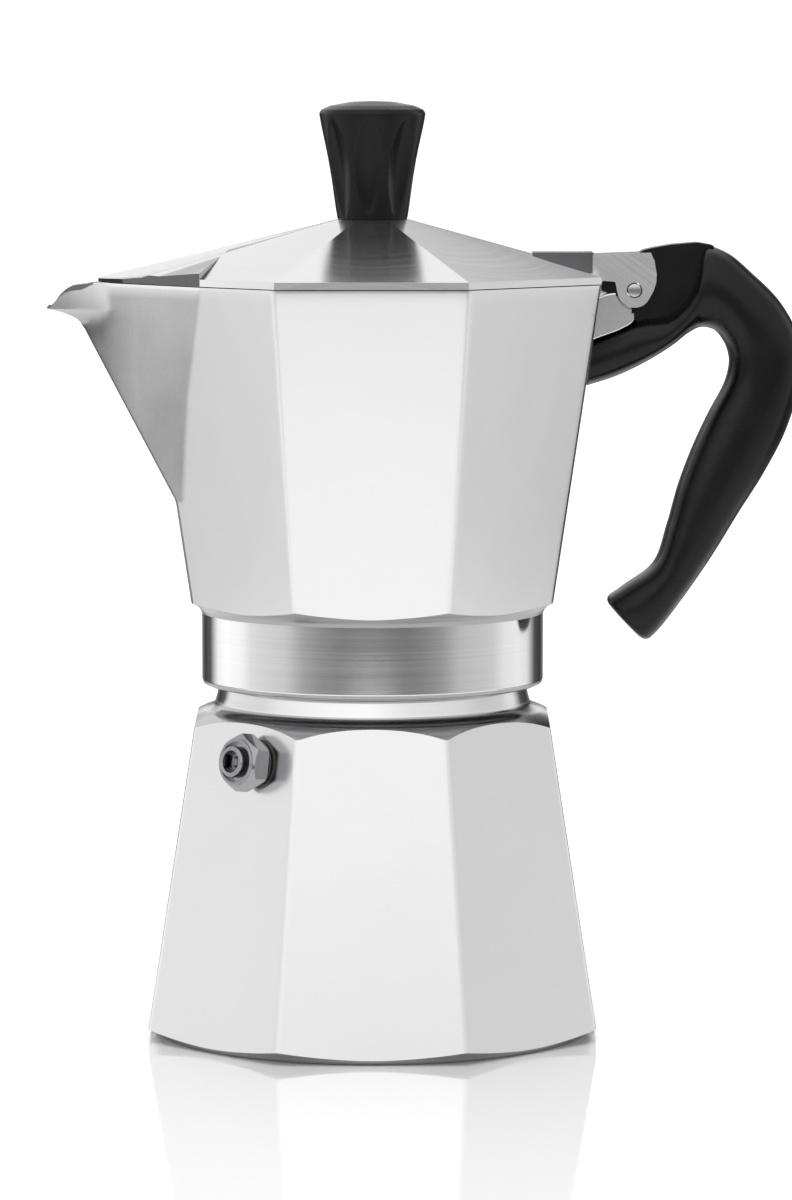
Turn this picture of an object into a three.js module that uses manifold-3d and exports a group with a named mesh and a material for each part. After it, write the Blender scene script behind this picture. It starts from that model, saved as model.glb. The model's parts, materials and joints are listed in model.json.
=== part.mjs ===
// Eight-sided stovetop coffee pot: boiler, funnel, screw-on collector, hinged lid and handle.
// Millimetres, +Z up. The origin is the centre of the boiler's flat bottom face.
// The spout points along -X and the handle along +X, so the pot is symmetric about Y = 0,
// apart from the safety valve on the boiler's (-X, -Y) facet.

import * as THREE from 'three';
import { ConvexGeometry } from 'three/addons/geometries/ConvexGeometry.js';
import { mergeVertices } from 'three/addons/utils/BufferGeometryUtils.js';
import Module from 'manifold-3d';

const wasm = await Module();
wasm.setup();

// ---------------------------------------------------------------- driving dimensions

const GAP = 0.3; // clearance between pieces that touch
const ROUND = 40; // sides of a large turned surface
const SMALL_ROUND = 20; // sides of a small turned surface

// boiler
const BOILER_APOTHEM = 52.3; // half the width across flats at the bottom
const BOILER_TAPER = 0.1534; // loss of apothem per millimetre of height
const FOOT_R = 50.2; // edge of the flat bottom face
const BOILER_FLOOR = 4;
const SHOULDER_TOP = 80.1;
const NECK_R = 35.4;
const NECK_BORE_R = 31.8;
const NECK_TOP = 92;
const THREAD_PITCH = 3;
const THREAD_DEPTH = 0.8;

// collector
const COLLAR_R = 39.8;
const COLLAR_BOTTOM = 81.5;
const COLLAR_BORE_R = 37;
const COLLAR_TOP = 98.6;
const GASKET_SEAT_R = 36.3;
const FLOOR_UNDERSIDE = 98.8;
const FLOOR_TOP = 102.5;
const RIM_Z = 175.2;
const RIM_APOTHEM = 52.4;
const BODY_TAPER = 0.1456; // gain of apothem per millimetre of height
const WALL = 3.1;

// spout: three planes that meet at a keel point, and a pouring lip beyond it
const SPOUT_ROOT_Z = 125.4; // where the keel facet leaves the left facet
const SPOUT_ROOT_HALF = 18.7;
const SPOUT_SIDE = new THREE.Vector3(-38.9, -35.2, RIM_Z); // where a side wall meets the rim
const KEEL_TIP = new THREE.Vector3(-67.5, 0, 165.2);
const SPOUT_RIM_TIP_X = -68.9;

// lid
const LID_BOTTOM = RIM_Z + GAP;
const LID_BAND_TOP = 176.9;
const LID_TOP = 189.6;
const LID_FLAT_APOTHEM = 8;
const LID_THICKNESS = 2;
const BEAK_TIP_X = -63.5;
const BEAK_TIP_Z = 176.25;
const BEAK_TIP_HALF = 3;
const BEAK_KNEE_X = -57.6; // where the beak's side wall turns in to the tip
const BEAK_SIDE_Z = 178.3; // height of the roof over the beak's widest point
const BEAK_BACK_X = -33; // where the beak's roof leaves the narrow left facet
const BEAK_BACK_HALF = 9;

// hinge, on an axis along Y
const HINGE_X = 60.6;
const HINGE_Z = 173.3;
const PIN_R = 1.6;
const PIN_HOLE_R = 1.85;
const EAR_INNER = 3.9;
const EAR_OUTER = 6.5;
const RIB_HALF = 4.8;
const PRONG_INNER = 1.95;
const PRONG_OUTER = 3.6;
const LUG_HALF = 1.65;

// handle
const GRIP_HALF = 10; // half the thickness of the grip across Y

// safety valve, on the boiler's (-X, -Y) facet
const VALVE_Z = 66.5;
const VALVE_OFFSET = 4.5; // along the facet, towards -Y
const VALVE_FLATS = 11.6;

// knob
const KNOB_FOOT_R = 7.75;
const KNOB_RIM_R = 12.35;
const KNOB_BOTTOM = LID_TOP + GAP;
const KNOB_RIM_Z = 214.4;
const KNOB_TOP = 216.9;

// ---------------------------------------------------------------- shape helpers

const EIGHTH = Math.PI / 8;
const CORNER = 1 / Math.cos(EIGHTH); // corner radius of an octagon per unit of apothem

const boilerApothem = (z) => BOILER_APOTHEM - BOILER_TAPER * z;
const bodyApothem = (z) => RIM_APOTHEM - BODY_TAPER * (RIM_Z - z);
const v3 = (x, y, z) => new THREE.Vector3(x, y, z);

// A closed geometry as a solid for joining and cutting.
function solid(geometry) {
  const bare = geometry.clone();
  for (const name of Object.keys(bare.attributes)) {
    if (name !== 'position') bare.deleteAttribute(name);
  }
  const merged = mergeVertices(bare, 1e-4);
  const index = merged.index.array;
  const triangles = [];
  for (let i = 0; i < index.length; i += 3) {
    const [a, b, c] = [index[i], index[i + 1], index[i + 2]];
    if (a !== b && b !== c && c !== a) triangles.push(a, b, c);
  }
  return new wasm.Manifold(new wasm.Mesh({
    numProp: 3,
    vertProperties: Float32Array.from(merged.attributes.position.array),
    triVerts: Uint32Array.from(triangles),
  }));
}

// A solid back as a geometry.
function geometryOf(shape) {
  const mesh = shape.getMesh();
  const geometry = new THREE.BufferGeometry();
  geometry.setAttribute('position', new THREE.BufferAttribute(mesh.vertProperties, 3));
  geometry.setIndex(new THREE.BufferAttribute(mesh.triVerts, 1));
  geometry.computeVertexNormals();
  return geometry;
}

// A turned solid about Z. The profile is a list of [radius, height], anticlockwise in that
// plane: up the outside, and closed on the axis or on itself.
function turned(profile, sides = ROUND) {
  const points = profile.map(([r, z]) => new THREE.Vector2(r, z));
  return solid(new THREE.LatheGeometry(points, sides).rotateX(Math.PI / 2));
}

// A disc or drum between two heights.
const drum = (r, z0, z1, sides = SMALL_ROUND) => turned([[0, z0], [r, z0], [r, z1], [0, z1]], sides);

// A ring with a square section.
function ring(inner, outer, z0, z1, sides = SMALL_ROUND) {
  return turned([[inner, z0], [outer, z0], [outer, z1], [inner, z1], [inner, z0]], sides);
}

// An eight-sided frustum with facets square to X, Y and the diagonals.
function octagon(apothem0, apothem1, z0, z1) {
  const shape = new THREE.CylinderGeometry(apothem1 * CORNER, apothem0 * CORNER, z1 - z0, 8);
  shape.rotateY(EIGHTH).rotateX(Math.PI / 2).translate(0, 0, (z0 + z1) / 2);
  return solid(shape);
}

// A plate: an outline of [x, z] points, from y0 to y1.
function plate(outline, y0, y1) {
  const shape = new THREE.Shape(outline.map(([x, z]) => new THREE.Vector2(x, z)));
  const body = new THREE.ExtrudeGeometry(shape, { depth: y1 - y0, bevelEnabled: false });
  return solid(body.rotateX(Math.PI / 2).translate(0, y1, 0));
}

// Everything within reach that lies outside the plane through three points, on the side its
// normal points to.
function outsideOf(a, b, c) {
  const plane = new THREE.Plane().setFromCoplanarPoints(a, b, c);
  const slab = new THREE.BoxGeometry(300, 300, 100).translate(0, 0, 50);
  slab.applyQuaternion(new THREE.Quaternion().setFromUnitVectors(v3(0, 0, 1), plane.normal));
  return solid(slab.translate(...a.toArray()));
}

// The convex solid round some points.
const hull = (points) => solid(new ConvexGeometry(points));

const mirror = (p) => v3(p.x, -p.y, p.z);

// Each point with its mirror image across Y = 0.
const mirrored = (points) => points.flatMap((p) => [p, mirror(p)]);

// A block between two corners.
function block(x0, x1, y0, y1, z0, z1) {
  const shape = new THREE.BoxGeometry(x1 - x0, y1 - y0, z1 - z0);
  return solid(shape.translate((x0 + x1) / 2, (y0 + y1) / 2, (z0 + z1) / 2));
}

// Points on an arc about the hinge, in the plane of [x, z]. Angles in degrees from +X.
function hingeArc(r, from, to, steps) {
  return Array.from({ length: steps + 1 }, (_, i) => {
    const angle = THREE.MathUtils.degToRad(from + ((to - from) * i) / steps);
    return [HINGE_X + r * Math.cos(angle), HINGE_Z + r * Math.sin(angle)];
  });
}

// A rod along Y through the hinge axis.
function hingeRod(r, halfLength, sides = SMALL_ROUND) {
  const rod = new THREE.CylinderGeometry(r, r, 2 * halfLength, sides);
  return solid(rod.translate(HINGE_X, 0, HINGE_Z));
}

const join = (first, ...rest) => rest.reduce((sum, shape) => sum.add(shape), first);
const cut = (first, ...rest) => rest.reduce((left, shape) => left.subtract(shape), first);

// Round holes through a disc: one at the centre and rings of them round it.
function ringHoles(rows, radius, z0, z1) {
  const holes = rows.flatMap(({ r, count }) => Array.from({ length: count }, (_, i) => {
    const angle = (2 * Math.PI * i) / count;
    const hole = new THREE.CylinderGeometry(radius, radius, z1 - z0, 6).rotateX(Math.PI / 2);
    return solid(hole.translate(r * Math.cos(angle), r * Math.sin(angle), (z0 + z1) / 2));
  }));
  return join(...holes);
}

const HOLE_ROWS = [{ r: 0, count: 1 }, { r: 8, count: 6 }, { r: 17, count: 12 }];
const HOLE_R = 1.1;

// ---------------------------------------------------------------- materials and meshes

const metal = (color, roughness) => new THREE.MeshStandardMaterial({ color, roughness, metalness: 1 });
const moulded = (color, roughness) => new THREE.MeshStandardMaterial({ color, roughness, metalness: 0 });

const CAST = [0xd6d6d8, 0.35];
const TURNED = [0xc8c8cb, 0.3];
const SPUN = [0xbfc0c4, 0.28];
const STEEL = [0xa8abb0, 0.25];
const BRASS = [0xb89b5a, 0.35];
const BAKELITE = [0x131313, 0.22];

function mesh(name, shape, material) {
  const part = new THREE.Mesh(geometryOf(shape), material);
  part.name = name;
  return part;
}

// ---------------------------------------------------------------- safety valve

// The valve's own frame: +Z out of the facet, origin on the facet's surface.
const facetTilt = Math.atan(BOILER_TAPER);
const valveAxis = v3(-Math.SQRT1_2 * Math.cos(facetTilt), -Math.SQRT1_2 * Math.cos(facetTilt), Math.sin(facetTilt));
const valveSide = v3(Math.SQRT1_2, -Math.SQRT1_2, 0);
const valveUp = new THREE.Vector3().crossVectors(valveAxis, valveSide);
const valvePlace = v3(-1, -1, 0).multiplyScalar(Math.SQRT1_2 * boilerApothem(VALVE_Z));
valvePlace.addScaledVector(valveSide, VALVE_OFFSET).setZ(VALVE_Z);
const valveMatrix = new THREE.Matrix4().makeBasis(valveSide, valveUp, valveAxis).setPosition(valvePlace);

const SHANK_R = 4;
const VALVE_BORE_R = 3;
const SHANK_END = -8;
const HEX_BACK = 1.4;
const HEX_FRONT = 6.1;
const RIM_FRONT = 6.6;
const NOZZLE_FRONT = 7.9;

function makeValve() {
  const group = new THREE.Group();
  valveMatrix.decompose(group.position, group.quaternion, group.scale);

  const hexRadius = VALVE_FLATS / 2 / Math.cos(Math.PI / 6);
  const hex = new THREE.CylinderGeometry(hexRadius, hexRadius, HEX_FRONT - HEX_BACK, 6);
  hex.rotateX(Math.PI / 2).translate(0, 0, (HEX_BACK + HEX_FRONT) / 2);
  const hexEnvelope = turned([
    [0, HEX_BACK - 1], [5.7, HEX_BACK - 0.2], [7, HEX_BACK + 0.6], [7, HEX_FRONT - 1.3], [5.3, HEX_FRONT + 0.1],
    [0, HEX_FRONT + 1],
  ], 24);
  const rim = turned([
    [0, HEX_FRONT - 1], [5.3, HEX_FRONT - 1], [5.3, RIM_FRONT], [4.6, RIM_FRONT], [4.6, 5.4], [3.5, 5.4],
    [3.5, NOZZLE_FRONT], [0, NOZZLE_FRONT],
  ], 24);
  const shank = drum(SHANK_R, SHANK_END, HEX_BACK + 1, 24);
  const groove = ring(3.5, 4.6, 5.4, NOZZLE_FRONT + 1, 24);
  const blank = join(cut(solid(hex).intersect(hexEnvelope), groove), rim, shank);
  const bore = turned([
    [0, SHANK_END - 1], [VALVE_BORE_R, SHANK_END - 1], [VALVE_BORE_R, 4.3], [1.6, 4.3], [1.6, 5.1],
    [2.45, 5.1], [2.45, NOZZLE_FRONT + 1], [0, NOZZLE_FRONT + 1],
  ]);
  group.add(mesh('valve_body', cut(blank, bore), metal(...STEEL)));
  group.add(mesh('valve_washer', ring(SHANK_R + GAP, 5.6, GAP, HEX_BACK - GAP), moulded(0x3a3532, 0.7)));
  group.add(mesh('valve_seat', ring(1.5, VALVE_BORE_R - GAP, SHANK_END, -6.6), metal(...BRASS)));

  const headFront = -5.3;
  const plunger = turned([
    [0, -6.3], [2.5, -6.3], [2.5, headFront], [1.25, headFront], [1.25, 6.2], [0.9, 6.7], [0, 6.7],
  ], 16);
  group.add(mesh('valve_plunger', plunger, metal(0x77797c, 0.3)));

  const spring = new THREE.Curve();
  const springStart = headFront + 0.75;
  const springLength = 8;
  const turns = 7;
  spring.getPoint = (t) => {
    const angle = 2 * Math.PI * turns * t;
    return v3(2.15 * Math.cos(angle), 2.15 * Math.sin(angle), springStart + springLength * t);
  };
  const wire = new THREE.Shape();
  wire.absarc(0, 0, 0.32, 0, 2 * Math.PI);
  const coil = new THREE.ExtrudeGeometry(wire, { extrudePath: spring, steps: turns * 12, curveSegments: 3 });
  group.add(mesh('valve_spring', solid(coil), metal(...STEEL)));
  return group;
}

// ---------------------------------------------------------------- boiler and funnel

function makeBoiler() {
  const facets = octagon(BOILER_APOTHEM, boilerApothem(SHOULDER_TOP), 0, SHOULDER_TOP);
  const envelope = turned([
    [0, 0], [FOOT_R, 0], [52.3, 1.4], [56.9, 3.4], [58, 6], [58, 60], [46.5, 71], [44.3, 72.8], [42.2, 74.6],
    [40.2, 75.7], [37.5, 76.9], [36.1, 78.3], [NECK_R, SHOULDER_TOP], [0, SHOULDER_TOP],
  ]);
  const threads = [1, 2, 3].flatMap((turn) => {
    const z = SHOULDER_TOP + THREAD_PITCH * turn;
    const crest = NECK_R + THREAD_DEPTH;
    return [[NECK_R, z - 0.9], [crest, z], [NECK_R, z + 0.9]];
  });
  const neck = turned([
    [0, SHOULDER_TOP - 1], [NECK_R, SHOULDER_TOP - 1], ...threads, [NECK_R, NECK_TOP - 0.5],
    [NECK_R - 0.5, NECK_TOP], [0, NECK_TOP],
  ]);
  const inside = turned([
    [0, BOILER_FLOOR], [42, BOILER_FLOOR], [46, 5.4], [47.2, 8], [38.2, 68], [36.5, 71],
    [NECK_BORE_R, 76], [NECK_BORE_R, NECK_TOP + 1], [0, NECK_TOP + 1],
  ]);
  const boss = drum(7.5, -6.5, -1, 24).transform(valveMatrix.elements);
  const valveHole = drum(SHANK_R + GAP, -12, 2, 24).transform(valveMatrix.elements);
  const vessel = cut(join(facets.intersect(envelope), neck), inside);
  return mesh('boiler', cut(join(vessel, boss), valveHole), metal(...CAST));
}

const BASKET_FLANGE_R = 35.2;
const BASKET_R = 31.2;
const BASKET_TOP = NECK_TOP + GAP + 0.8;
const STEM_R = 5.9;
const SLEEVE_BOTTOM = 54;
const SLEEVE_TOP = 60.6;

function makeFunnel() {
  const group = new THREE.Group();
  const sleeveBore = STEM_R + GAP;
  const basket = turned([
    [sleeveBore, SLEEVE_BOTTOM], [sleeveBore + 0.9, SLEEVE_BOTTOM], [sleeveBore + 0.9, SLEEVE_TOP],
    [30.5, 70.6], [BASKET_R, 72], [BASKET_R, BASKET_TOP - 0.8], [BASKET_FLANGE_R, BASKET_TOP - 0.8],
    [BASKET_FLANGE_R, BASKET_TOP], [BASKET_R - 0.9, BASKET_TOP], [BASKET_R - 0.9, 71.6],
    [sleeveBore, SLEEVE_TOP + 0.8], [sleeveBore, SLEEVE_BOTTOM],
  ]);
  const strainer = cut(drum(BASKET_R - 1.2, 72, 72.8, ROUND), ringHoles(HOLE_ROWS, HOLE_R, 71, 74));
  const stem = ring(STEM_R - 0.9, STEM_R, 10, SLEEVE_TOP, 24);
  group.add(mesh('funnel_basket', basket, metal(...SPUN)));
  group.add(mesh('funnel_strainer', strainer, metal(...SPUN)));
  group.add(mesh('funnel_stem', stem, metal(...SPUN)));
  return group;
}

// ---------------------------------------------------------------- seal pack in the collar

const GASKET_BOTTOM = BASKET_TOP + GAP;
const GASKET_TOP = GASKET_BOTTOM + 4;

function makeSeal() {
  const group = new THREE.Group();
  const outer = GASKET_SEAT_R - GAP;
  group.add(mesh('gasket', ring(28, outer, GASKET_BOTTOM, GASKET_TOP, ROUND), moulded(0xe8e6df, 0.6)));
  const plateBottom = GASKET_TOP + GAP;
  const plateBlank = drum(outer, plateBottom, plateBottom + 0.7, ROUND);
  const holes = ringHoles(HOLE_ROWS, HOLE_R, plateBottom - 1, plateBottom + 2);
  group.add(mesh('filter_plate', cut(plateBlank, holes), metal(...SPUN)));
  return group;
}

// ---------------------------------------------------------------- collector

// The corner of the left facet where the keel facet starts.
const SPOUT_ROOT = v3(-bodyApothem(SPOUT_ROOT_Z), -SPOUT_ROOT_HALF, SPOUT_ROOT_Z);

// What the two side walls' planes take off the octagon's corners.
const spoutTrim = [
  outsideOf(SPOUT_SIDE, KEEL_TIP, SPOUT_ROOT),
  outsideOf(mirror(SPOUT_SIDE), mirror(SPOUT_ROOT), KEEL_TIP),
];

// The pouring lip: bevelled rim, tip and underside, as one side's points.
const LIP = [
  v3(-63.5, -6.5, 174.9), v3(-69.8, -2.6, 174.4), v3(-74.4, -1.6, 171.1), v3(-75.6, -1.2, 168.9),
  v3(-72.6, -0.8, 167.8), v3(-65.8, -6, 173.6), v3(-69.6, -4.2, 171.6), v3(-72.9, -2.6, 169.9),
];

function spoutOutside() {
  const inner = [v3(-20, -20, RIM_Z), v3(-30, -10, SPOUT_ROOT_Z)];
  const cone = hull([...mirrored([SPOUT_SIDE, SPOUT_ROOT, ...inner]), v3(SPOUT_RIM_TIP_X, 0, RIM_Z), KEEL_TIP]);
  const lip = hull([...mirrored([...LIP, v3(-58, -4, 172)]), KEEL_TIP, v3(-62, 0, 160)]);
  const lipSpace = block(-90, -64.4, -20, 20, 174.4, RIM_Z + 1);
  return join(cut(cone, lipSpace), lip);
}

function spoutInside() {
  const high = RIM_Z + 2;
  const bowl = hull([
    ...mirrored([v3(-36, -33.2, high), v3(-42.5, -15.5, 129), v3(-20, -20, high), v3(-30, -10, 129)]),
    v3(-65.6, 0, high), v3(-64.4, 0, 167.2),
  ]);
  const channel = hull([
    ...mirrored([v3(-58, -5, high), v3(-69.4, -1.5, high), v3(-79, -0.7, 174)]),
    v3(-79, 0, 168.4), v3(-64.4, 0, 167.2), v3(-58, 0, 166),
  ]);
  return join(bowl, channel);
}

const BRACKET = [
  [49.5, 162.6], [52.6, 163.9], [56.6, 165.2], [59.9, 166.7], [62.4, 168], [62, 169.4], [60.6, HINGE_Z],
  [54.5, 172.6], [52.2, 171.8], [49.5, 171.8],
];

function makeCollector() {
  const outside = octagon(bodyApothem(FLOOR_UNDERSIDE - 0.5), RIM_APOTHEM, FLOOR_UNDERSIDE - 0.5, RIM_Z);
  const underside = turned([
    [0, 98], [39.8, 98], [41.5, 100.3], [44.9, 101.7], [47, 103], [60, 116], [60, 190], [0, 190],
  ]);
  const collar = turned([
    [0, COLLAR_BOTTOM], [COLLAR_R - 1.2, COLLAR_BOTTOM], [COLLAR_R - 0.3, COLLAR_BOTTOM + 0.4],
    [COLLAR_R, COLLAR_BOTTOM + 1.3], [COLLAR_R, COLLAR_TOP], [0, COLLAR_TOP + 2],
  ]);
  const collarBore = turned([
    [0, 70], [COLLAR_BORE_R, 70], [COLLAR_BORE_R, NECK_TOP + 1], [GASKET_SEAT_R, NECK_TOP + 1.7],
    [GASKET_SEAT_R, FLOOR_UNDERSIDE], [30, FLOOR_UNDERSIDE + 0.4], [8, 100.3], [0, 100.3],
  ]);
  const inside = octagon(bodyApothem(FLOOR_TOP) - WALL, RIM_APOTHEM + 0.3 - WALL, FLOOR_TOP, RIM_Z + 2);
  const columnHole = drum(6 + GAP, 90, 110, 24);

  const bracket = cut(
    plate(BRACKET, -EAR_OUTER, EAR_OUTER),
    hingeRod(5.2, 10, 32),
    plate([[HINGE_X, HINGE_Z], ...hingeArc(5.8, -79, 30, 10)], -10, 10),
  );
  const lug = plate([
    [49.5, 164.2], [56, 166], [60.2, 167.3], ...hingeArc(3.8, -60, 90, 10), [51.8, 174.9], [49.5, 174.9],
  ], -LUG_HALF, LUG_HALF);
  const body = cut(outside.intersect(underside), ...spoutTrim);
  const shell = join(body, collar, spoutOutside(), bracket, lug);
  const hollow = join(inside, spoutInside(), collarBore, columnHole, hingeRod(PIN_HOLE_R, 10));
  return mesh('collector', cut(shell, hollow), metal(...CAST));
}

const COLUMN_TOP = 158;
const COLUMN_TIP_R = 5.6;
const COLUMN_BORE_R = 3.2;

function makeColumn() {
  const group = new THREE.Group();
  const flange = FLOOR_TOP + GAP;
  const column = turned([
    [COLUMN_BORE_R, 100.8], [6, 100.8], [6, flange], [8.6, flange], [8, flange + 2],
    [COLUMN_TIP_R, COLUMN_TOP], [COLUMN_BORE_R, COLUMN_TOP], [COLUMN_BORE_R, 100.8],
  ], 24);
  const capBore = COLUMN_TIP_R + GAP + 0.1;
  const cap = turned([
    [capBore, 154], [capBore + 1.2, 154], [capBore + 1.2, 164.5], [5, 166.8], [0, 167.4],
    [0, 165.6], [capBore, 164], [capBore, 154],
  ], 24);
  const mouths = block(-3, 3, -10, 10, COLUMN_TOP + 0.8, 163.7);
  group.add(mesh('riser_column', column, metal(...SPUN)));
  group.add(mesh('column_cap', cut(cap, mouths), metal(...SPUN)));
  return group;
}

// ---------------------------------------------------------------- lid and knob

const lidSlope = (LID_TOP - LID_BAND_TOP) / (RIM_APOTHEM - LID_FLAT_APOTHEM);

// The plan of the beak's side wall: it stands on the spout's rim, then turns in to the tip.
const rimTip = v3(SPOUT_RIM_TIP_X, 0, RIM_Z);
const rimLine = rimTip.clone().sub(SPOUT_SIDE).normalize();
const kneeReach = (BEAK_KNEE_X - SPOUT_SIDE.x) / rimLine.x;
const BEAK_KNEE = SPOUT_SIDE.clone().addScaledVector(rimLine, kneeReach);

// The lid over the spout: a narrow left facet that opens into the beak's roof.
function beak(drop, inset, floor) {
  const inward = v3(rimLine.y, -rimLine.x, 0).multiplyScalar(inset);
  const at = (point, z) => v3(point.x, point.y, z).add(inward);
  const roofAt = (x) => LID_TOP - drop + ((x + 7.5) * (LID_TOP - BEAK_TIP_Z)) / (-7.5 - BEAK_TIP_X);
  const tipX = BEAK_TIP_X + 1.2 * inset;
  const tipHalf = BEAK_TIP_HALF - 0.3 * inset;
  const back = v3(BEAK_BACK_X, -BEAK_BACK_HALF, roofAt(BEAK_BACK_X) - 0.7);
  const roof = [
    at(SPOUT_SIDE, BEAK_SIDE_Z - drop), at(BEAK_KNEE, 176.2 - drop), v3(tipX, -tipHalf, roofAt(tipX) - 0.25), back,
  ];
  const base = roof.map((p) => v3(p.x, p.y, floor));
  const facet = [v3(-7.5, -3, LID_TOP - drop), v3(-7.5, -3, floor), back, base[3], v3(BEAK_BACK_X, 0, roofAt(BEAK_BACK_X))];
  const ridge = [v3(BEAK_BACK_X, 0, roofAt(BEAK_BACK_X)), v3(tipX, 0, roofAt(tipX))];
  return join(hull([...mirrored([...roof, ...base]), ...ridge]), hull(mirrored(facet)));
}

const EAR = [
  [50.9, 181.5], [64.3, 182], [65.2, 180], [65.7, 177], [65.6, 175], [64.9, 173],
  ...hingeArc(4, -44, -172, 10), [56.1, 175.5], [52.4, 175.6], [50.9, 176.2],
];

function makeLid() {
  const band = octagon(RIM_APOTHEM, RIM_APOTHEM, LID_BOTTOM, LID_BAND_TOP);
  const roof = octagon(RIM_APOTHEM, LID_FLAT_APOTHEM, LID_BAND_TOP, LID_TOP);
  const under = LID_BAND_TOP - LID_THICKNESS;
  const underApothem = RIM_APOTHEM - LID_THICKNESS;
  const underTop = under + lidSlope * (RIM_APOTHEM - LID_FLAT_APOTHEM);
  const hollow = join(
    octagon(underApothem, underApothem, LID_BOTTOM - 1, under + lidSlope * LID_THICKNESS),
    octagon(underApothem, LID_FLAT_APOTHEM, under + lidSlope * LID_THICKNESS, underTop),
    beak(LID_THICKNESS, LID_THICKNESS, LID_BOTTOM - 1),
  );
  const above = (p) => v3(p.x, p.y, p.z + 10);
  const trim = [
    outsideOf(SPOUT_SIDE, above(rimTip), rimTip),
    outsideOf(mirror(SPOUT_SIDE), rimTip, above(rimTip)),
  ];
  const rib = plate([[37, 182], [51.2, 182], [51.2, 176.4], [37, 180.6]], -RIB_HALF, RIB_HALF);
  const ears = [-1, 1].map((side) => {
    const [y0, y1] = side < 0 ? [-EAR_OUTER, -EAR_INNER] : [EAR_INNER, EAR_OUTER];
    return plate(EAR, y0, y1);
  });
  const slot = block(49.4, 80, -EAR_INNER, EAR_INNER, 160, 200);
  const screwHole = drum(2.3, LID_TOP - 5, LID_TOP + 5);
  const blank = join(cut(join(band, roof), ...trim), beak(0, 0, LID_BOTTOM));
  const shell = join(cut(blank, hollow), rib);
  return mesh('lid', cut(join(cut(shell, slot), ...ears), hingeRod(PIN_HOLE_R, 10), screwHole), metal(...CAST));
}

const INSERT_R = 3.6;
const SCREW_R = 1.7;

function makeKnob() {
  const group = new THREE.Group();
  const outside = turned([
    [0, KNOB_BOTTOM], [KNOB_FOOT_R, KNOB_BOTTOM], [KNOB_RIM_R, KNOB_RIM_Z - 0.4], [KNOB_RIM_R - 0.5, KNOB_RIM_Z + 0.5],
    [KNOB_RIM_R - 2.5, KNOB_RIM_Z + 1.4], [5, KNOB_TOP - 0.2], [0, KNOB_TOP],
  ], 32);
  const pocket = drum(INSERT_R + GAP, KNOB_BOTTOM - 1, 201.5);
  group.add(mesh('knob', cut(outside, pocket), moulded(...BAKELITE)));
  group.add(mesh('knob_insert', ring(SCREW_R + GAP, INSERT_R, KNOB_BOTTOM, 201), metal(...BRASS)));

  const washerTop = 187.3 - GAP;
  group.add(mesh('knob_washer', ring(SCREW_R + GAP, 5.2, washerTop - 0.8, washerTop), metal(...STEEL)));
  const headTop = washerTop - 0.8 - GAP;
  const screw = turned([
    [0, headTop - 2], [2.8, headTop - 2], [3.6, headTop - 1.2], [3.6, headTop], [SCREW_R, headTop],
    [SCREW_R, 199.6], [0, 199.6],
  ]);
  const driverSlot = block(-0.5, 0.5, -5, 5, headTop - 3, headTop - 1.2);
  group.add(mesh('knob_screw', cut(screw, driverSlot), metal(...STEEL)));
  return group;
}

// ---------------------------------------------------------------- handle

// Sections through the moulding, from its seat on the collector, round the head and down the
// grip to its foot. Each is the back point, the front point and half the thickness across Y.
const SECTIONS = [
  { back: [51.3, 162.4], front: [49.8, 151], half: 7.5 },
  { back: [57, 164.8], front: [55.8, 152.9], half: 7.8 },
  { back: [62.6, 166.7], front: [61, 155.2], half: 8 },
  { back: [68.8, 167.7], front: [66.2, 158.1], half: 8.5 },
  { back: [73, 171.6], front: [70.1, 160.7], half: 9 },
  { back: [75.4, 176], front: [73.4, 163.3], half: 9.4 },
  { back: [77.2, 183.2], front: [76.6, 164.6], half: 9.7 },
  { back: [82, 182], front: [79.2, 164], half: 9.9 },
  { back: [88.2, 177], front: [81.5, 161.4], half: GRIP_HALF },
  { back: [94.8, 170.2], front: [82.7, 158.3], half: GRIP_HALF },
  { back: [99, 162], front: [82.8, 155.5], half: GRIP_HALF },
  { back: [99.3, 152.5], front: [81.7, 151.4], half: GRIP_HALF },
  { back: [96.3, 141.1], front: [78, 144.4], half: GRIP_HALF },
  { back: [91, 130.6], front: [74.4, 136.6], half: GRIP_HALF },
  { back: [85.3, 121.5], front: [71.2, 128], half: 9.9 },
  { back: [78.9, 111], front: [68.6, 118.6], half: 9.6 },
  { back: [72.3, 101.4], front: [65.4, 109.6], half: 9.2 },
  { back: [66.5, 93.8], front: [58.8, 104.5], half: 8.8 },
  { back: [63.5, 91.1], front: [54, 101.1], half: 8.4 },
];

// The edge of a section: a rounded oblong between its back and its front point.
function sectionRing({ back, front, half }, sides = 16) {
  const soft = (c) => Math.sign(c) * Math.abs(c) ** 0.7;
  return Array.from({ length: sides }, (_, i) => {
    const angle = (2 * Math.PI * (i + 0.5)) / sides;
    const across = soft(Math.cos(angle)) / 2;
    const x = (back[0] + front[0]) / 2 + (back[0] - front[0]) * across;
    const z = (back[1] + front[1]) / 2 + (back[1] - front[1]) * across;
    return v3(x, half * soft(Math.sin(angle)), z);
  });
}

// A skin from ring to ring, closed with a fan of triangles at each end.
function loft(rings) {
  const count = rings[0].length;
  const middle = (points) => points.reduce((sum, p) => sum.add(p), v3(0, 0, 0)).divideScalar(count);
  const last = (rings.length - 1) * count;
  const index = [];
  for (let i = 0; i < count; i += 1) {
    const next = (i + 1) % count;
    for (let row = 0; row < last; row += count) {
      index.push(row + i, row + count + i, row + next, row + next, row + count + i, row + count + next);
    }
    index.push(last + count, i, next, last + i, last + count + 1, last + next);
  }
  const geometry = new THREE.BufferGeometry();
  geometry.setFromPoints([...rings.flat(), middle(rings[0]), middle(rings.at(-1))]);
  return solid(geometry.setIndex(index));
}

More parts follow.
